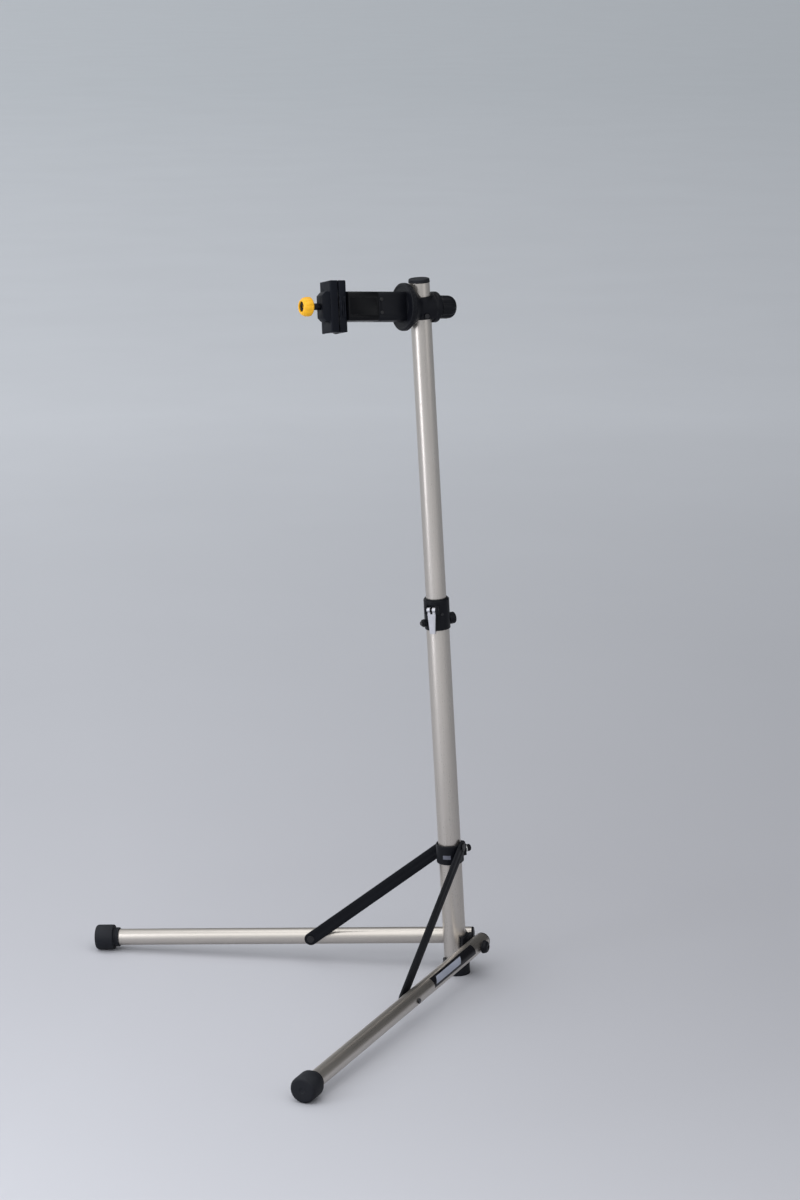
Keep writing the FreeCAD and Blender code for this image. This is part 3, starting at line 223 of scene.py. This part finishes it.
class Finish:
    """Builds one procedural material on object coordinates."""

    def __init__(self, name):
        self.material = bpy.data.materials.new(name)
        self.material.use_nodes = True
        self.tree = self.material.node_tree
        self.tree.nodes.clear()
        self.output = self.tree.nodes.new("ShaderNodeOutputMaterial")
        self.shader = self.add("ShaderNodeBsdfPrincipled")
        self.link(self.shader.outputs["BSDF"], self.output.inputs["Surface"])
        self.place = self.add("ShaderNodeTexCoord").outputs["Object"]
        self.bump = None

    def add(self, kind, **settings):
        made = self.tree.nodes.new(kind)
        for name, value in settings.items():
            setattr(made, name, value)
        return made

    def link(self, source, target):
        self.tree.links.new(source, target)

    def stretched(self, scale):
        mapping = self.add("ShaderNodeMapping")
        mapping.inputs["Scale"].default_value = scale
        self.link(self.place, mapping.inputs["Vector"])
        return mapping.outputs["Vector"]

    def noise(self, scale, detail=3.0, stretch=None, roughness=0.55):
        made = self.add("ShaderNodeTexNoise")
        made.inputs["Scale"].default_value = scale
        made.inputs["Detail"].default_value = detail
        made.inputs["Roughness"].default_value = roughness
        self.link(self.stretched(stretch) if stretch else self.place, made.inputs["Vector"])
        return made.outputs["Fac"]

    def cells(self, scale):
        made = self.add("ShaderNodeTexVoronoi")
        made.inputs["Scale"].default_value = scale
        self.link(self.place, made.inputs["Vector"])
        return made.outputs["Distance"]

    def span(self, source, low, high, to_low, to_high):
        made = self.add("ShaderNodeMapRange")
        for name, value in (("From Min", low), ("From Max", high), ("To Min", to_low), ("To Max", to_high)):
            made.inputs[name].default_value = value
        self.link(source, made.inputs["Value"])
        return made.outputs["Result"]

    def math(self, operation, first, second):
        made = self.add("ShaderNodeMath", operation=operation)
        for socket, value in zip(made.inputs, (first, second)):
            if isinstance(value, (int, float)):
                socket.default_value = value
            else:
                self.link(value, socket)
        return made.outputs["Value"]

    def mix(self, factor, first, second):
        made = self.add("ShaderNodeMix", data_type="RGBA")
        self.link(factor, made.inputs["Factor"])
        for name, value in (("A", first), ("B", second)):
            socket = [s for s in made.inputs if s.name == name and s.type == "RGBA"][0]
            if isinstance(value, tuple):
                socket.default_value = (*value, 1.0)
            else:
                self.link(value, socket)
        return [s for s in made.outputs if s.type == "RGBA"][0]

    def edges(self, width):
        """Near 1 on sharp outer edges: how far a rounded normal turns from the true one."""
        rounded = self.add("ShaderNodeBevel", samples=4)
        rounded.inputs["Radius"].default_value = width
        true = self.add("ShaderNodeNewGeometry")
        product = self.add("ShaderNodeVectorMath", operation="DOT_PRODUCT")
        self.link(rounded.outputs["Normal"], product.inputs[0])
        self.link(true.outputs["Normal"], product.inputs[1])
        return self.span(product.outputs["Value"], 0.995, 0.90, 0.0, 1.0)

    def raise_by(self, source, distance):
        made = self.add("ShaderNodeBump")
        made.inputs["Strength"].default_value = 1.0
        made.inputs["Distance"].default_value = distance
        self.link(source, made.inputs["Height"])
        if self.bump:
            self.link(self.bump, made.inputs["Normal"])
        self.bump = made.outputs["Normal"]

    def done(self, colour, rough, **values):
        self.link(colour, self.shader.inputs["Base Color"])
        self.link(rough, self.shader.inputs["Roughness"])
        if self.bump:
            self.link(self.bump, self.shader.inputs["Normal"])
        for name, value in values.items():
            self.shader.inputs[name.replace("_", " ")].default_value = value
        return self.material


def shades(colour, spread):
    return tuple(c * (1 - spread) for c in colour), tuple(min(1.0, c * (1 + spread)) for c in colour)


def tube_finish(name, colour, metallic=0.92, rough=0.30):
    """Satin anodised tube: fine lines along the tube, cloudy tone, and short scuffs round it."""
    f = Finish(name)
    low, high = shades(colour, 0.06)
    cloud = f.noise(9.0, 4.0)
    lines = f.noise(1.0, 2.0, (1500.0, 1500.0, 9.0))
    fleck = f.noise(420.0, 2.0)
    scuff = f.noise(1.0, 4.0, (60.0, 60.0, 520.0), 0.7)
    scuffed = f.math("MULTIPLY", f.span(scuff, 0.66, 0.74, 0.0, 1.0), f.span(cloud, 0.5, 0.6, 0.0, 1.0))
    tone = f.mix(f.math("ADD", f.math("MULTIPLY", cloud, 0.6), f.math("MULTIPLY", lines, 0.4)), low, high)
    tone = f.mix(f.math("MULTIPLY", scuffed, 0.35), tone, tuple(min(1.0, c * 1.25) for c in colour))
    worked = f.span(lines, 0.2, 0.8, rough - 0.05, rough + 0.07)
    roughness = f.math("ADD", worked, f.span(fleck, 0.3, 0.7, -0.02, 0.02))
    roughness = f.math("ADD", roughness, f.math("MULTIPLY", scuffed, 0.12))
    f.raise_by(lines, 0.012 * MM)
    f.raise_by(fleck, 0.008 * MM)
    return f.done(tone, roughness, Metallic=metallic, Anisotropic=0.35)


def coat_finish(name, colour, rough=0.42, grain=900.0, depth=0.05, worn=(0.3, 0.3, 0.31), wear=0.5, **values):
    """Powder coat or moulded plastic: grain, pits, uneven tone, pale streaks and paler rubbed edges."""
    f = Finish(name)
    low, high = shades(colour, 0.22)
    cloud = f.noise(26.0, 4.0)
    peel = f.noise(grain, 3.0)
    pits = f.cells(grain * 0.55)
    patch = f.noise(140.0, 3.0)
    tone = f.mix(cloud, low, high)
    rubbed = f.math("MULTIPLY", f.edges(0.9 * MM), f.span(patch, 0.42, 0.62, 0.0, wear))
    tone = f.mix(rubbed, tone, worn)
    streak = f.span(f.noise(1.0, 4.0, (300.0, 300.0, 22.0), 0.7), 0.60, 0.80, 0.0, 0.10)
    tone = f.mix(streak, tone, tuple(min(1.0, c * 2 + 0.01) for c in colour))
    worked = f.span(cloud, 0.3, 0.7, rough - 0.05, rough + 0.07)
    roughness = f.math("ADD", worked, f.span(peel, 0.3, 0.7, -0.03, 0.03))
    f.raise_by(peel, depth * MM)
    f.raise_by(pits, depth * 0.5 * MM)
    return f.done(tone, roughness, **values)


def metal_finish(name, colour, rough=0.28, stretch=(900.0, 900.0, 40.0), depth=0.02):
    """Bare or plated metal: brushed lines, stains and dark specks."""
    f = Finish(name)
    low, high = shades(colour, 0.12)
    cloud = f.noise(60.0, 4.0)
    lines = f.noise(1.0, 3.0, stretch)
    speck = f.span(f.noise(1800.0, 2.0), 0.68, 0.76, 0.0, 0.45)
    tone = f.mix(f.math("ADD", f.math("MULTIPLY", cloud, 0.5), f.math("MULTIPLY", lines, 0.5)), low, high)
    tone = f.mix(speck, tone, tuple(c * 0.35 for c in colour))
    worked = f.span(lines, 0.25, 0.75, rough - 0.07, rough + 0.10)
    roughness = f.math("ADD", worked, f.math("MULTIPLY", speck, 0.3))
    f.raise_by(lines, depth * MM)
    return f.done(tone, roughness, Metallic=1.0)


def rubber_finish(name, colour, rough=0.62, depth=0.09):
    """Moulded rubber: soft grain, dusty film on faces that look up and scuffed high spots."""
    f = Finish(name)
    low, high = shades(colour, 0.25)
    cloud = f.noise(38.0, 5.0)
    grain = f.noise(1300.0, 3.0)
    way = f.add("ShaderNodeNewGeometry").outputs["Normal"]
    split = f.add("ShaderNodeSeparateXYZ")
    f.link(way, split.inputs["Vector"])
    upward = f.span(split.outputs["Z"], 0.1, 1.0, 0.0, 0.22)
    dust = f.math("MULTIPLY", upward, f.span(cloud, 0.35, 0.7, 0.2, 1.0))
    tone = f.mix(cloud, low, high)
    tone = f.mix(dust, tone, (0.07, 0.073, 0.08))
    rubbed = f.math("MULTIPLY", f.edges(1.2 * MM), f.span(grain, 0.45, 0.62, 0.0, 0.35))
    tone = f.mix(rubbed, tone, (0.045, 0.046, 0.05))
    roughness = f.span(cloud, 0.3, 0.7, rough - 0.07, rough + 0.08)
    f.raise_by(grain, depth * MM)
    f.raise_by(cloud, 0.10 * MM)
    return f.done(tone, roughness, Specular_IOR_Level=0.2)


TUBE = tube_finish("anodised_tube_finish", (0.52, 0.486, 0.448))
STEEL = coat_finish("powder_coat_finish", (0.0045, 0.0052, 0.0075), rough=0.42, grain=1100.0, depth=0.05,
                    worn=(0.05, 0.05, 0.053), wear=0.35, Specular_IOR_Level=0.12)
CAST = coat_finish("arm_coat_finish", (0.0048, 0.0054, 0.0078), rough=0.40, grain=800.0, depth=0.06,
                   worn=(0.05, 0.05, 0.055), wear=0.35, Specular_IOR_Level=0.12)
NYLON = coat_finish("black_nylon_finish", (0.0042, 0.0048, 0.0070), rough=0.38, grain=1500.0, depth=0.04,
                    worn=(0.04, 0.04, 0.044), wear=0.5, Specular_IOR_Level=0.14)
JAW = coat_finish("jaw_nylon_finish", (0.0050, 0.0062, 0.0100), rough=0.42, grain=1300.0, depth=0.05,
                  worn=(0.07, 0.073, 0.085), wear=0.6, Specular_IOR_Level=0.10)
GLOSS = coat_finish("carrier_nylon_finish", (0.0025, 0.0027, 0.0036), rough=0.28, grain=1400.0, depth=0.02,
                    worn=(0.05, 0.05, 0.055), wear=0.5, Specular_IOR_Level=0.12)
YELLOW = coat_finish("yellow_plastic_finish", (0.93, 0.44, 0.010), rough=0.36, grain=1300.0, depth=0.03,
                     worn=(0.96, 0.60, 0.08), wear=0.4, Specular_IOR_Level=0.35)
RUBBER = rubber_finish("black_rubber_finish", (0.0075, 0.0085, 0.012))
ZINC = metal_finish("zinc_steel_finish", (0.62, 0.62, 0.61))
LEVER = metal_finish("lever_aluminium_finish", (0.50, 0.50, 0.53), rough=0.42, stretch=(700.0, 30.0, 700.0))
BRASS = metal_finish("brass_finish", (0.70, 0.50, 0.22))
BOLT = coat_finish("black_oxide_finish", (0.014, 0.014, 0.016), rough=0.34, grain=1600.0, depth=0.02,
                   worn=(0.20, 0.20, 0.21), wear=0.5, Metallic=0.4)
VINYL = coat_finish("label_vinyl_finish", (0.006, 0.006, 0.008), rough=0.30, grain=600.0, depth=0.01,
                    worn=(0.05, 0.05, 0.055), wear=0.3, Specular_IOR_Level=0.25)
SILVER_INK = coat_finish("label_silver_finish", (0.30, 0.32, 0.39), rough=0.38, grain=700.0, depth=0.01,
                         worn=(0.50, 0.52, 0.56), wear=0.3)
GREY_INK = coat_finish("label_grey_finish", (0.10, 0.105, 0.135), rough=0.40, grain=700.0, depth=0.01,
                       worn=(0.2, 0.2, 0.23), wear=0.3)
BY_SLOT = {
    "anodised_tube": TUBE, "black_steel": STEEL, "black_nylon": NYLON, "black_rubber": RUBBER,
    "zinc_steel": ZINC, "black_screw": BOLT, "polished_aluminium": LEVER, "brass": BRASS,
    "yellow_plastic": YELLOW,
}


# ---------------------------------------------------------------- tubes


def tube_piece(name, node, matrix, wall):
    """A tube with rolled lips and open ends."""
    low, high, radius = reach(node, matrix)
    lip = 0.7 * MM
    depth = 14 * MM
    corners = [
        (low + depth, 0.0), (low + depth, radius - wall), (low, radius - wall, lip / 2), (low, radius, lip),
        (high, radius, lip), (high, radius - wall, lip / 2),
        (high - depth, radius - wall), (high - depth, 0.0),
    ]
    return turned(name, corners, matrix, node, TUBE, segments=128)


WALL = 1.8 * MM
tube_piece("lower_tube_skin", "lower_tube", POST, WALL)
tube_piece("mast_tube_skin", "mast_tube", POST, WALL)
for side in SIDES:
    tube_piece(f"{side}_leg_tube_skin", f"{side}_leg_tube", LEG[side], WALL)


# ---------------------------------------------------------------- feet, plugs and caps


def leg_foot(side):
    """Moulded rubber cap: a banded neck, a full shoulder and a domed end with a shallow dish."""
    node = f"{side}_leg_foot"
    low, high, radius = reach(node, LEG[side])
    neck = 22.0 * MM
    shoulder = low + 12 * MM
    groove = 0.8 * MM
    corners = [(low, neck - 3.5 * MM), (low, neck, 1.2 * MM)]
    for k in range(2):
        ring = low + (3.2 + 3.6 * k) * MM
        corners += [(ring, neck, 0.4 * MM), (ring + 0.4 * MM, neck - groove, 0.3 * MM),
                    (ring + 1.4 * MM, neck - groove, 0.3 * MM), (ring + 1.8 * MM, neck, 0.4 * MM)]
    corners += [
        (shoulder, neck, 0.8 * MM), (shoulder, radius, 3.0 * MM),
        (high, radius, 8.0 * MM), (high, radius - 17 * MM, 4.0 * MM),
        (high - 0.2 * MM, 6 * MM, 1.0 * MM), (high - 1.2 * MM, 4.5 * MM, 0.6 * MM), (high - 1.2 * MM, 0.0),
    ]
    turned(f"{side}_leg_foot_cap", corners, LEG[side], node, RUBBER, segments=128)


def leg_plug(side):
    node = f"{side}_leg_plug"
    low, high, radius = reach(node, LEG[side])
    corners = [
        (low + 1.4 * MM, 0.0), (low + 1.4 * MM, 9 * MM, 0.5 * MM), (low, 10.5 * MM, 0.8 * MM),
        (low, radius - 2.0 * MM, 1.6 * MM), (low + 1.6 * MM, radius, 1.4 * MM),
        (low + 3.9 * MM, radius, 0.2 * MM),
        (low + 3.9 * MM, radius - WALL),
    ]
    turned(f"{side}_leg_plug_cap", corners, LEG[side], node, NYLON)


def pivot_cap(side):
    """Round cap nut: a washer flange, a crowned body with thirty fine ribs round its side, and a dimple."""
    across = joint_axis(f"{side}_leg_fold")
    away = LEG[side].translation - POST_UP * LEG[side].translation.dot(POST_UP)
    outward = across if across.dot(away) > 0 else -across
    matrix = axes(LEG[side].translation, outward, POST_UP)
    points = local_points("leg_pivot_caps", matrix)
    mine = points[points[:, 2] > 0]
    low, high = float(mine[:, 2].min()), float(mine[:, 2].max())
    radius = float(np.hypot(mine[:, 0], mine[:, 1]).max())
    corners = [
        (low, 6 * MM), (low, radius, 0.6 * MM), (low + 2.6 * MM, radius, 0.6 * MM),
        (low + 2.8 * MM, radius - 1.2 * MM, 0.3 * MM), (high - 4.4 * MM, radius - 1.4 * MM, 2.0 * MM),
        (high - 0.9 * MM, radius - 5.0 * MM, 2.2 * MM), (high, radius - 9.0 * MM, 1.0 * MM),
        (high - 0.5 * MM, 3.6 * MM, 0.4 * MM), (high - 1.9 * MM, 2.9 * MM, 0.3 * MM), (high - 1.9 * MM, 0.0),
    ]

    def ribbed(angle, place, r):
        if low + 2.9 * MM < place < high - 4.0 * MM:
            return r - 0.35 * MM * (0.5 + 0.5 * math.cos(angle * 30))
        return r

    replaced = ("leg_pivot_caps",) if side == "left" else ()
    turned(f"{side}_pivot_cap", corners, matrix, "leg_pivot_caps", NYLON, 240, ribbed, replaced)


def mast_cap():
    """Rubber end cap with a rolled rim round a shallow dish."""
    low, high, radius = reach("mast_cap", POST)
    tube_top = reach("mast_tube", POST)[1]
    corners = [
        (tube_top, radius - 4 * MM), (tube_top, radius, 0.7 * MM), (tube_top + 2.6 * MM, radius, 0.3 * MM),
        (tube_top + 3.1 * MM, radius - 0.5 * MM, 0.3 * MM), (high - 2.4 * MM, radius - 0.3 * MM, 1.6 * MM),
        (high, radius - 2.0 * MM, 1.4 * MM), (high, radius - 4.5 * MM, 0.8 * MM),
        (high - 1.3 * MM, radius - 6.0 * MM, 0.7 * MM), (high - 1.3 * MM, 2.0 * MM, 0.3 * MM),
        (high - 0.9 * MM, 1.4 * MM, 0.3 * MM), (high - 0.9 * MM, 0.0),
    ]
    turned("mast_end_cap", corners, POST, "mast_cap", RUBBER)


for side in SIDES:
    leg_foot(side)
    leg_plug(side)
    pivot_cap(side)
mast_cap()


# ---------------------------------------------------------------- knobs and the index disc


TENSION_KNOB_RADIUS = 25.0 * MM
CLAMP_KNOB_RADIUS = 20.5 * MM


def scallops(count, depth, low, high, fade):
    """A radius rule that cuts round finger hollows between two places along the axis."""

    def rule(angle, place, radius):
        inside = min(1.0, max(0.0, (place - low) / fade)) * min(1.0, max(0.0, (high - place) / fade))
        wave = 0.5 + 0.5 * math.cos(angle * count)
        return radius - depth * wave ** 3 * inside

    return rule


def tension_knob():
    matrix = axes(ARM.translation, -joint_axis("arm_turn"), JAW_UP)
    low, high, _ = reach("tension_knob", matrix)
    radius = TENSION_KNOB_RADIUS
    corners = [
        (low, 9 * MM), (low, radius - 4.0 * MM, 1.0 * MM), (low + 4.0 * MM, radius, 2.0 * MM),
        (high - 12.5 * MM, radius, 6.0 * MM), (high - 4.0 * MM, radius - 4.2 * MM, 3.0 * MM),
        (high - 0.8 * MM, radius - 9.0 * MM, 2.0 * MM), (high - 0.3 * MM, radius - 12.0 * MM, 0.5 * MM),
        (high - 1.0 * MM, radius - 12.8 * MM, 0.3 * MM), (high - 1.0 * MM, 0.0),
    ]
    rule = scallops(10, 2.2 * MM, low + 3 * MM, high - 3 * MM, 6 * MM)
    turned("tension_knob_grip", corners, matrix, "tension_knob", NYLON, 240, rule)


def clamp_knob():
    low, high, _ = reach("clamp_knob", ARM)
    radius = CLAMP_KNOB_RADIUS
    corners = [
        (low, 5.2 * MM), (low, 9.5 * MM, 0.5 * MM), (low + 0.8 * MM, 10.3 * MM, 0.4 * MM),
        (low + 0.8 * MM, radius - 4.0 * MM, 1.6 * MM), (low + 4.0 * MM, radius, 2.0 * MM),
        (high - 9.0 * MM, radius, 4.0 * MM), (high - 2.6 * MM, radius - 3.2 * MM, 2.0 * MM),
        (high, radius - 6.6 * MM, 0.8 * MM), (high, 11.6 * MM, 0.5 * MM),
        (high - 0.8 * MM, 11.0 * MM, 0.4 * MM),
        (high - 6.0 * MM, 11.0 * MM), (high - 6.0 * MM, 0.0),
    ]
    rule = scallops(12, 1.1 * MM, low + 2 * MM, high - 2.5 * MM, 5 * MM)
    turned("clamp_knob_grip", corners, ARM, "clamp_knob", YELLOW, 288, rule)


def lock_knob():
    matrix = axes(joint_place("lock_screw_turn"), joint_axis("lock_screw_turn"), POST_UP)
    low, high, radius = reach("collar_lock_knob", matrix)
    corners = [
        (low, 2.5 * MM), (low, radius, 0.8 * MM), (high - 1.6 * MM, radius, 1.0 * MM),
        (high, radius - 2.2 * MM, 0.8 * MM), (high, 3.2 * MM, 0.3 * MM),
        (high - 1.6 * MM, 2.6 * MM, 0.3 * MM),
        (high - 1.6 * MM, 0.0),
    ]
    rule = scallops(24, 0.7 * MM, low + 0.8 * MM, high - 0.8 * MM, 1.5 * MM)
    turned("collar_lock_knob_grip", corners, matrix, "collar_lock_knob", NYLON, 240, rule)


def index_disc():
    """Flange of the turning arm, with a stepped rim and index notches round its edge."""
    low, high, radius = reach("index_disc", ARM)
    corners = [
        (low, 6 * MM), (low, radius - 1.2 * MM, 0.5 * MM), (low + 1.2 * MM, radius, 0.5 * MM),
        (high - 1.4 * MM, radius, 0.6 * MM), (high, radius - 1.6 * MM, 0.6 * MM),
        (high, radius - 6.0 * MM, 0.3 * MM), (high - 0.7 * MM, radius - 6.8 * MM, 0.3 * MM),
        (high - 0.7 * MM, 30.0 * MM, 0.3 * MM), (high, 29.0 * MM, 0.3 * MM), (high, 6 * MM),
    ]
    rule = scallops(36, 0.7 * MM, low + 1.0 * MM, high - 1.0 * MM, 1.0 * MM)
    turned("index_disc_flange", corners, ARM, "index_disc", CAST, 288, rule)


tension_knob()
clamp_knob()
lock_knob()
index_disc()


# ---------------------------------------------------------------- plain labels


def label(name, node, matrix, radius, places, angles, finish, slant=0.0, height=0.12 * MM):
    """A thin label wrapped round a cylinder about the frame's Z axis, with its ends slanted."""
    work = bmesh.new()
    steps = 24
    outer = []
    inner = []
    for place in places:
        for row, r in ((outer, radius + height), (inner, radius - height)):
            line = []
            for k in range(steps + 1):
                angle = math.radians(angles[0] + (angles[1] - angles[0]) * k / steps)
                shift = slant * (k / steps - 0.5)
                line.append(work.verts.new((r * math.cos(angle), r * math.sin(angle), place + shift)))
            row.append(line)
    for k in range(steps):
        work.faces.new((outer[0][k], outer[0][k + 1], outer[1][k + 1], outer[1][k]))
        for end in (0, 1):
            work.faces.new((inner[end][k], inner[end][k + 1], outer[end][k + 1], outer[end][k]))
    for k in (0, steps):
        work.faces.new((inner[0][k], inner[1][k], outer[1][k], outer[0][k]))
    bmesh.ops.recalc_face_normals(work, faces=work.faces)
    shade(work)
    add_piece(name, work, matrix, node, finish)


COLLAR_PLATE_RADIUS = 30.5 * MM


def leg_label():
    """A black strip on the outer side of the left leg, with one plain silver bar."""
    outward = -joint_axis("left_leg_fold")
    matrix = axes(LEG["left"].translation, LEG["left"].col[2][:3], outward)
    radius = reach("left_leg_tube", LEG["left"])[2]
    label("leg_strip", "left_leg_tube", matrix, radius, (40 * MM, 252 * MM), (-6.0, 74.0), VINYL)
    label("leg_strip_bar", "left_leg_tube", matrix, radius, (112 * MM, 236 * MM), (12.0, 56.0), SILVER_INK,
          -14 * MM, 0.2 * MM)


def collar_label():
    """A small plain plate on the front of the fold collar."""
    low = reach("fold_collar", POST)[0]
    places = (low + 14 * MM, low + 23 * MM)
    label("collar_plate", "fold_collar", POST, COLLAR_PLATE_RADIUS, places, (30.0, 64.0), GREY_INK)


leg_label()
collar_label()


# ---------------------------------------------------------------- pieces that keep the CAD shape, finer

FINE = [
    ("post_foot", RUBBER, POST, 0.8), ("hub_bracket", STEEL, POST, 0.6), ("height_clamp", NYLON, POST, 0.6),
    ("height_lever", LEVER, POST, 0.0), ("fold_collar", NYLON, POST, 0.6), ("head_housing", CAST, ARM, 0.6),
    ("arm_body", CAST, ARM, 0.5), ("jaw_carrier", GLOSS, ARM, 0.5), ("fixed_jaw", JAW, ARM, 0.5),
    ("moving_jaw", JAW, ARM, 0.5), ("fixed_jaw_pad", RUBBER, ARM, 0.3), ("moving_jaw_pad", RUBBER, ARM, 0.3),
    ("jaw_end_plate", JAW, ARM, 0.8), ("left_brace", STEEL, POST, 0.6), ("right_brace", STEEL, POST, 0.6),
    ("left_brace_saddle", ZINC, LEG["left"], 0.3), ("right_brace_saddle", ZINC, LEG["right"], 0.3),
    ("clamp_liner", NYLON, POST, 0.3), ("thrust_washer", ZINC, ARM, 0.3), ("knob_plug", NYLON, ARM, 0.3),
    ("clamp_screws", BOLT, POST, 0.3), ("lever_pin", BOLT, POST, 0.3), ("head_bolt", BOLT, ARM, 0.3),
    ("head_nut", BOLT, ARM, 0.3), ("arm_screws", BOLT, ARM, 0.2), ("clamp_screw", ZINC, ARM, 0.2),
    ("thrust_sleeve", NYLON, ARM, 0.3), ("guide_rods", ZINC, ARM, 0.3), ("foot_bolt", BOLT, POST, 0.3),
    ("bracket_rivets", BOLT, POST, 0.2), ("brace_pivot_pins", BOLT, POST, 0.3),
    ("left_brace_rivet", BOLT, POST, 0.2), ("right_brace_rivet", BOLT, POST, 0.2),
    ("left_brace_bolt", BOLT, LEG["left"], 0.3), ("right_brace_bolt", BOLT, LEG["right"], 0.3),
    ("collar_lock_ring", ZINC, POST, 0.2), ("leg_pivot_spacers", NYLON, POST, 0.2),
    ("jaw_screws", BOLT, ARM, 0.2),
]
for node, finish, matrix, edge in FINE:
    fine_copy(node, finish, matrix, edge * MM)


# ---------------------------------------------------------------- CAD nodes that stay as they are

for node, thing in frame["nodes"].items():
    thing.data.materials.clear()
    thing.data.materials.append(BY_SLOT[SLOT_OF[node]])


# ---------------------------------------------------------------- stage, light and camera


LEFT = Vector((0.881, -0.474, 0.0))     # level, square to the way the camera looks
BACK = Vector((-0.474, -0.881, 0.0))
DARK = Vector((-0.79, -0.55, 0.27))     # a darker corner of the room


FLOOR_RADIUS = 90.0


def floor():
    """A pale studio floor that runs out of sight. Its tone is set by distance, with painted shade on the
    camera's right side and painted light towards the front.
    """
    work = bmesh.new()
    bmesh.ops.create_circle(work, cap_ends=True, segments=96, radius=FLOOR_RADIUS)
    mesh = bpy.data.meshes.new("floor")
    work.to_mesh(mesh)
    work.free()
    f = Finish("floor_finish")
    distance = f.add("ShaderNodeVectorMath", operation="LENGTH")
    f.link(f.place, distance.inputs[0])
    ramp = f.add("ShaderNodeValToRGB")
    ramp.color_ramp.elements[0].color = (0.54, 0.545, 0.585, 1.0)
    ramp.color_ramp.elements[1].color = (0.76, 0.80, 0.845, 1.0)
    middle = ramp.color_ramp.elements.new(0.22)
    middle.color = (0.86, 0.885, 0.935, 1.0)
    f.link(f.span(distance.outputs["Value"], 0.8, 32.0, 0.0, 1.0), ramp.inputs["Fac"])
    sideways = f.add("ShaderNodeVectorMath", operation="DOT_PRODUCT")
    f.link(f.place, sideways.inputs[0])
    sideways.inputs[1].default_value = LEFT
    slope = f.math("DIVIDE", sideways.outputs["Value"], f.math("ADD", distance.outputs["Value"], 3.5))
    # Painted shade: the floor darkens towards the camera's right side, away from the key lamp, by up to 22 %.
    shadow = f.span(slope, -0.18, 0.18, 0.22, 0.0)
    forward = f.add("ShaderNodeVectorMath", operation="DOT_PRODUCT")
    f.link(f.place, forward.inputs[0])
    forward.inputs[1].default_value = -BACK
    # Painted light: the floor is made paler towards the camera, as a lit band in front of the stand.
    front = f.span(forward.outputs["Value"], 1.35, 3.0, 0.0, 0.6)
    grain = f.noise(700.0, 2.0)
    tone = f.mix(f.span(f.noise(1.2, 3.0), 0.3, 0.7, 0.0, 0.05), ramp.outputs["Color"], (0.44, 0.45, 0.48))
    tone = f.mix(shadow, tone, (0.0, 0.0, 0.0))
    tone = f.mix(front, tone, (0.93, 0.93, 0.96))
    f.raise_by(grain, 0.05 * MM)
    mesh.materials.append(f.done(tone, f.span(grain, 0.3, 0.7, 0.62, 0.7)))
    thing = bpy.data.objects.new("floor", mesh)
    bpy.context.scene.collection.objects.link(thing)


def lamp(name, place, target, width, height, power, colour=(1.0, 1.0, 1.0)):
    data = bpy.data.lights.new(name, "AREA")
    data.shape = "RECTANGLE"
    data.size = width
    data.size_y = height
    data.energy = power
    data.color = colour
    thing = bpy.data.objects.new(name, data)
    bpy.context.scene.collection.objects.link(thing)
    thing.location = place
    thing.rotation_euler = (Vector(target) - Vector(place)).to_track_quat("-Z", "Y").to_euler()


WORLD_DIM = 0.36
WORLD_BRIGHT = 1.12


def world():
    """Even studio light, brighter from one side, with one darker corner."""
    made = bpy.data.worlds.new("studio")
    bpy.context.scene.world = made
    made.use_nodes = True
    tree = made.node_tree
    background = tree.nodes["Background"]
    place = tree.nodes.new("ShaderNodeTexCoord")

    def toward(direction, low, high, to_low, to_high):
        product = tree.nodes.new("ShaderNodeVectorMath")
        product.operation = "DOT_PRODUCT"
        product.inputs[1].default_value = direction.normalized()
        tree.links.new(place.outputs["Generated"], product.inputs[0])
        spread = tree.nodes.new("ShaderNodeMapRange")
        spread.interpolation_type = "SMOOTHSTEP"
        for name, value in (("From Min", low), ("From Max", high), ("To Min", to_low), ("To Max", to_high)):
            spread.inputs[name].default_value = value
        tree.links.new(product.outputs["Value"], spread.inputs["Value"])
        return spread.outputs["Result"]

    product = tree.nodes.new("ShaderNodeMath")
    product.operation = "MULTIPLY"
    tree.links.new(toward(LEFT, -0.9, 0.8, WORLD_DIM, WORLD_BRIGHT), product.inputs[0])
    tree.links.new(toward(DARK, 0.55, 0.93, 1.0, 0.07), product.inputs[1])
    background.inputs["Color"].default_value = (0.955, 0.975, 1.0, 1.0)
    tree.links.new(product.outputs["Value"], background.inputs["Strength"])




CAMERA_PLACE = (3.228, 5.731, 2.383)
CAMERA_TILT = 90.0 - 13.02
CAMERA_TURN = 151.72
CAMERA_LENS = 92.19     # millimetres on a sensor of SENSOR_WIDTH
SENSOR_WIDTH = 36.0
CLIP_END = 400.0


def camera():
    data = bpy.data.cameras.new("camera")
    data.lens = CAMERA_LENS
    data.sensor_width = SENSOR_WIDTH
    data.clip_end = CLIP_END
    thing = bpy.data.objects.new("camera", data)
    bpy.context.scene.collection.objects.link(thing)
    thing.location = CAMERA_PLACE
    thing.rotation_euler = (math.radians(CAMERA_TILT), 0.0, math.radians(CAMERA_TURN))
    bpy.context.scene.camera = thing


bpy.context.scene.view_settings.view_transform = "Standard"
floor()
world()
centre = Vector((0.2, 0.0, 0.8))
lamp("key", centre + Vector((3.3, 0.4, 0.5)), centre, 1.1, 2.6, 30.0, (0.92, 0.94, 1.0))
lamp("top", centre + Vector((0, 0, 3.6)), centre, 3.4, 3.4, 40.0)
lamp("fill", centre - LEFT * 3.6 - BACK * 2.6 + Vector((0, 0, 1.4)), centre, 2.0, 2.6, 10.0)
under = Vector((0.2, 0.0, 0.0))
lamp("bounce", under + Vector((0, 0, 2.8)) - BACK * 3.0, under - BACK * 2.6, 5.0, 3.4, 48.0)
camera()
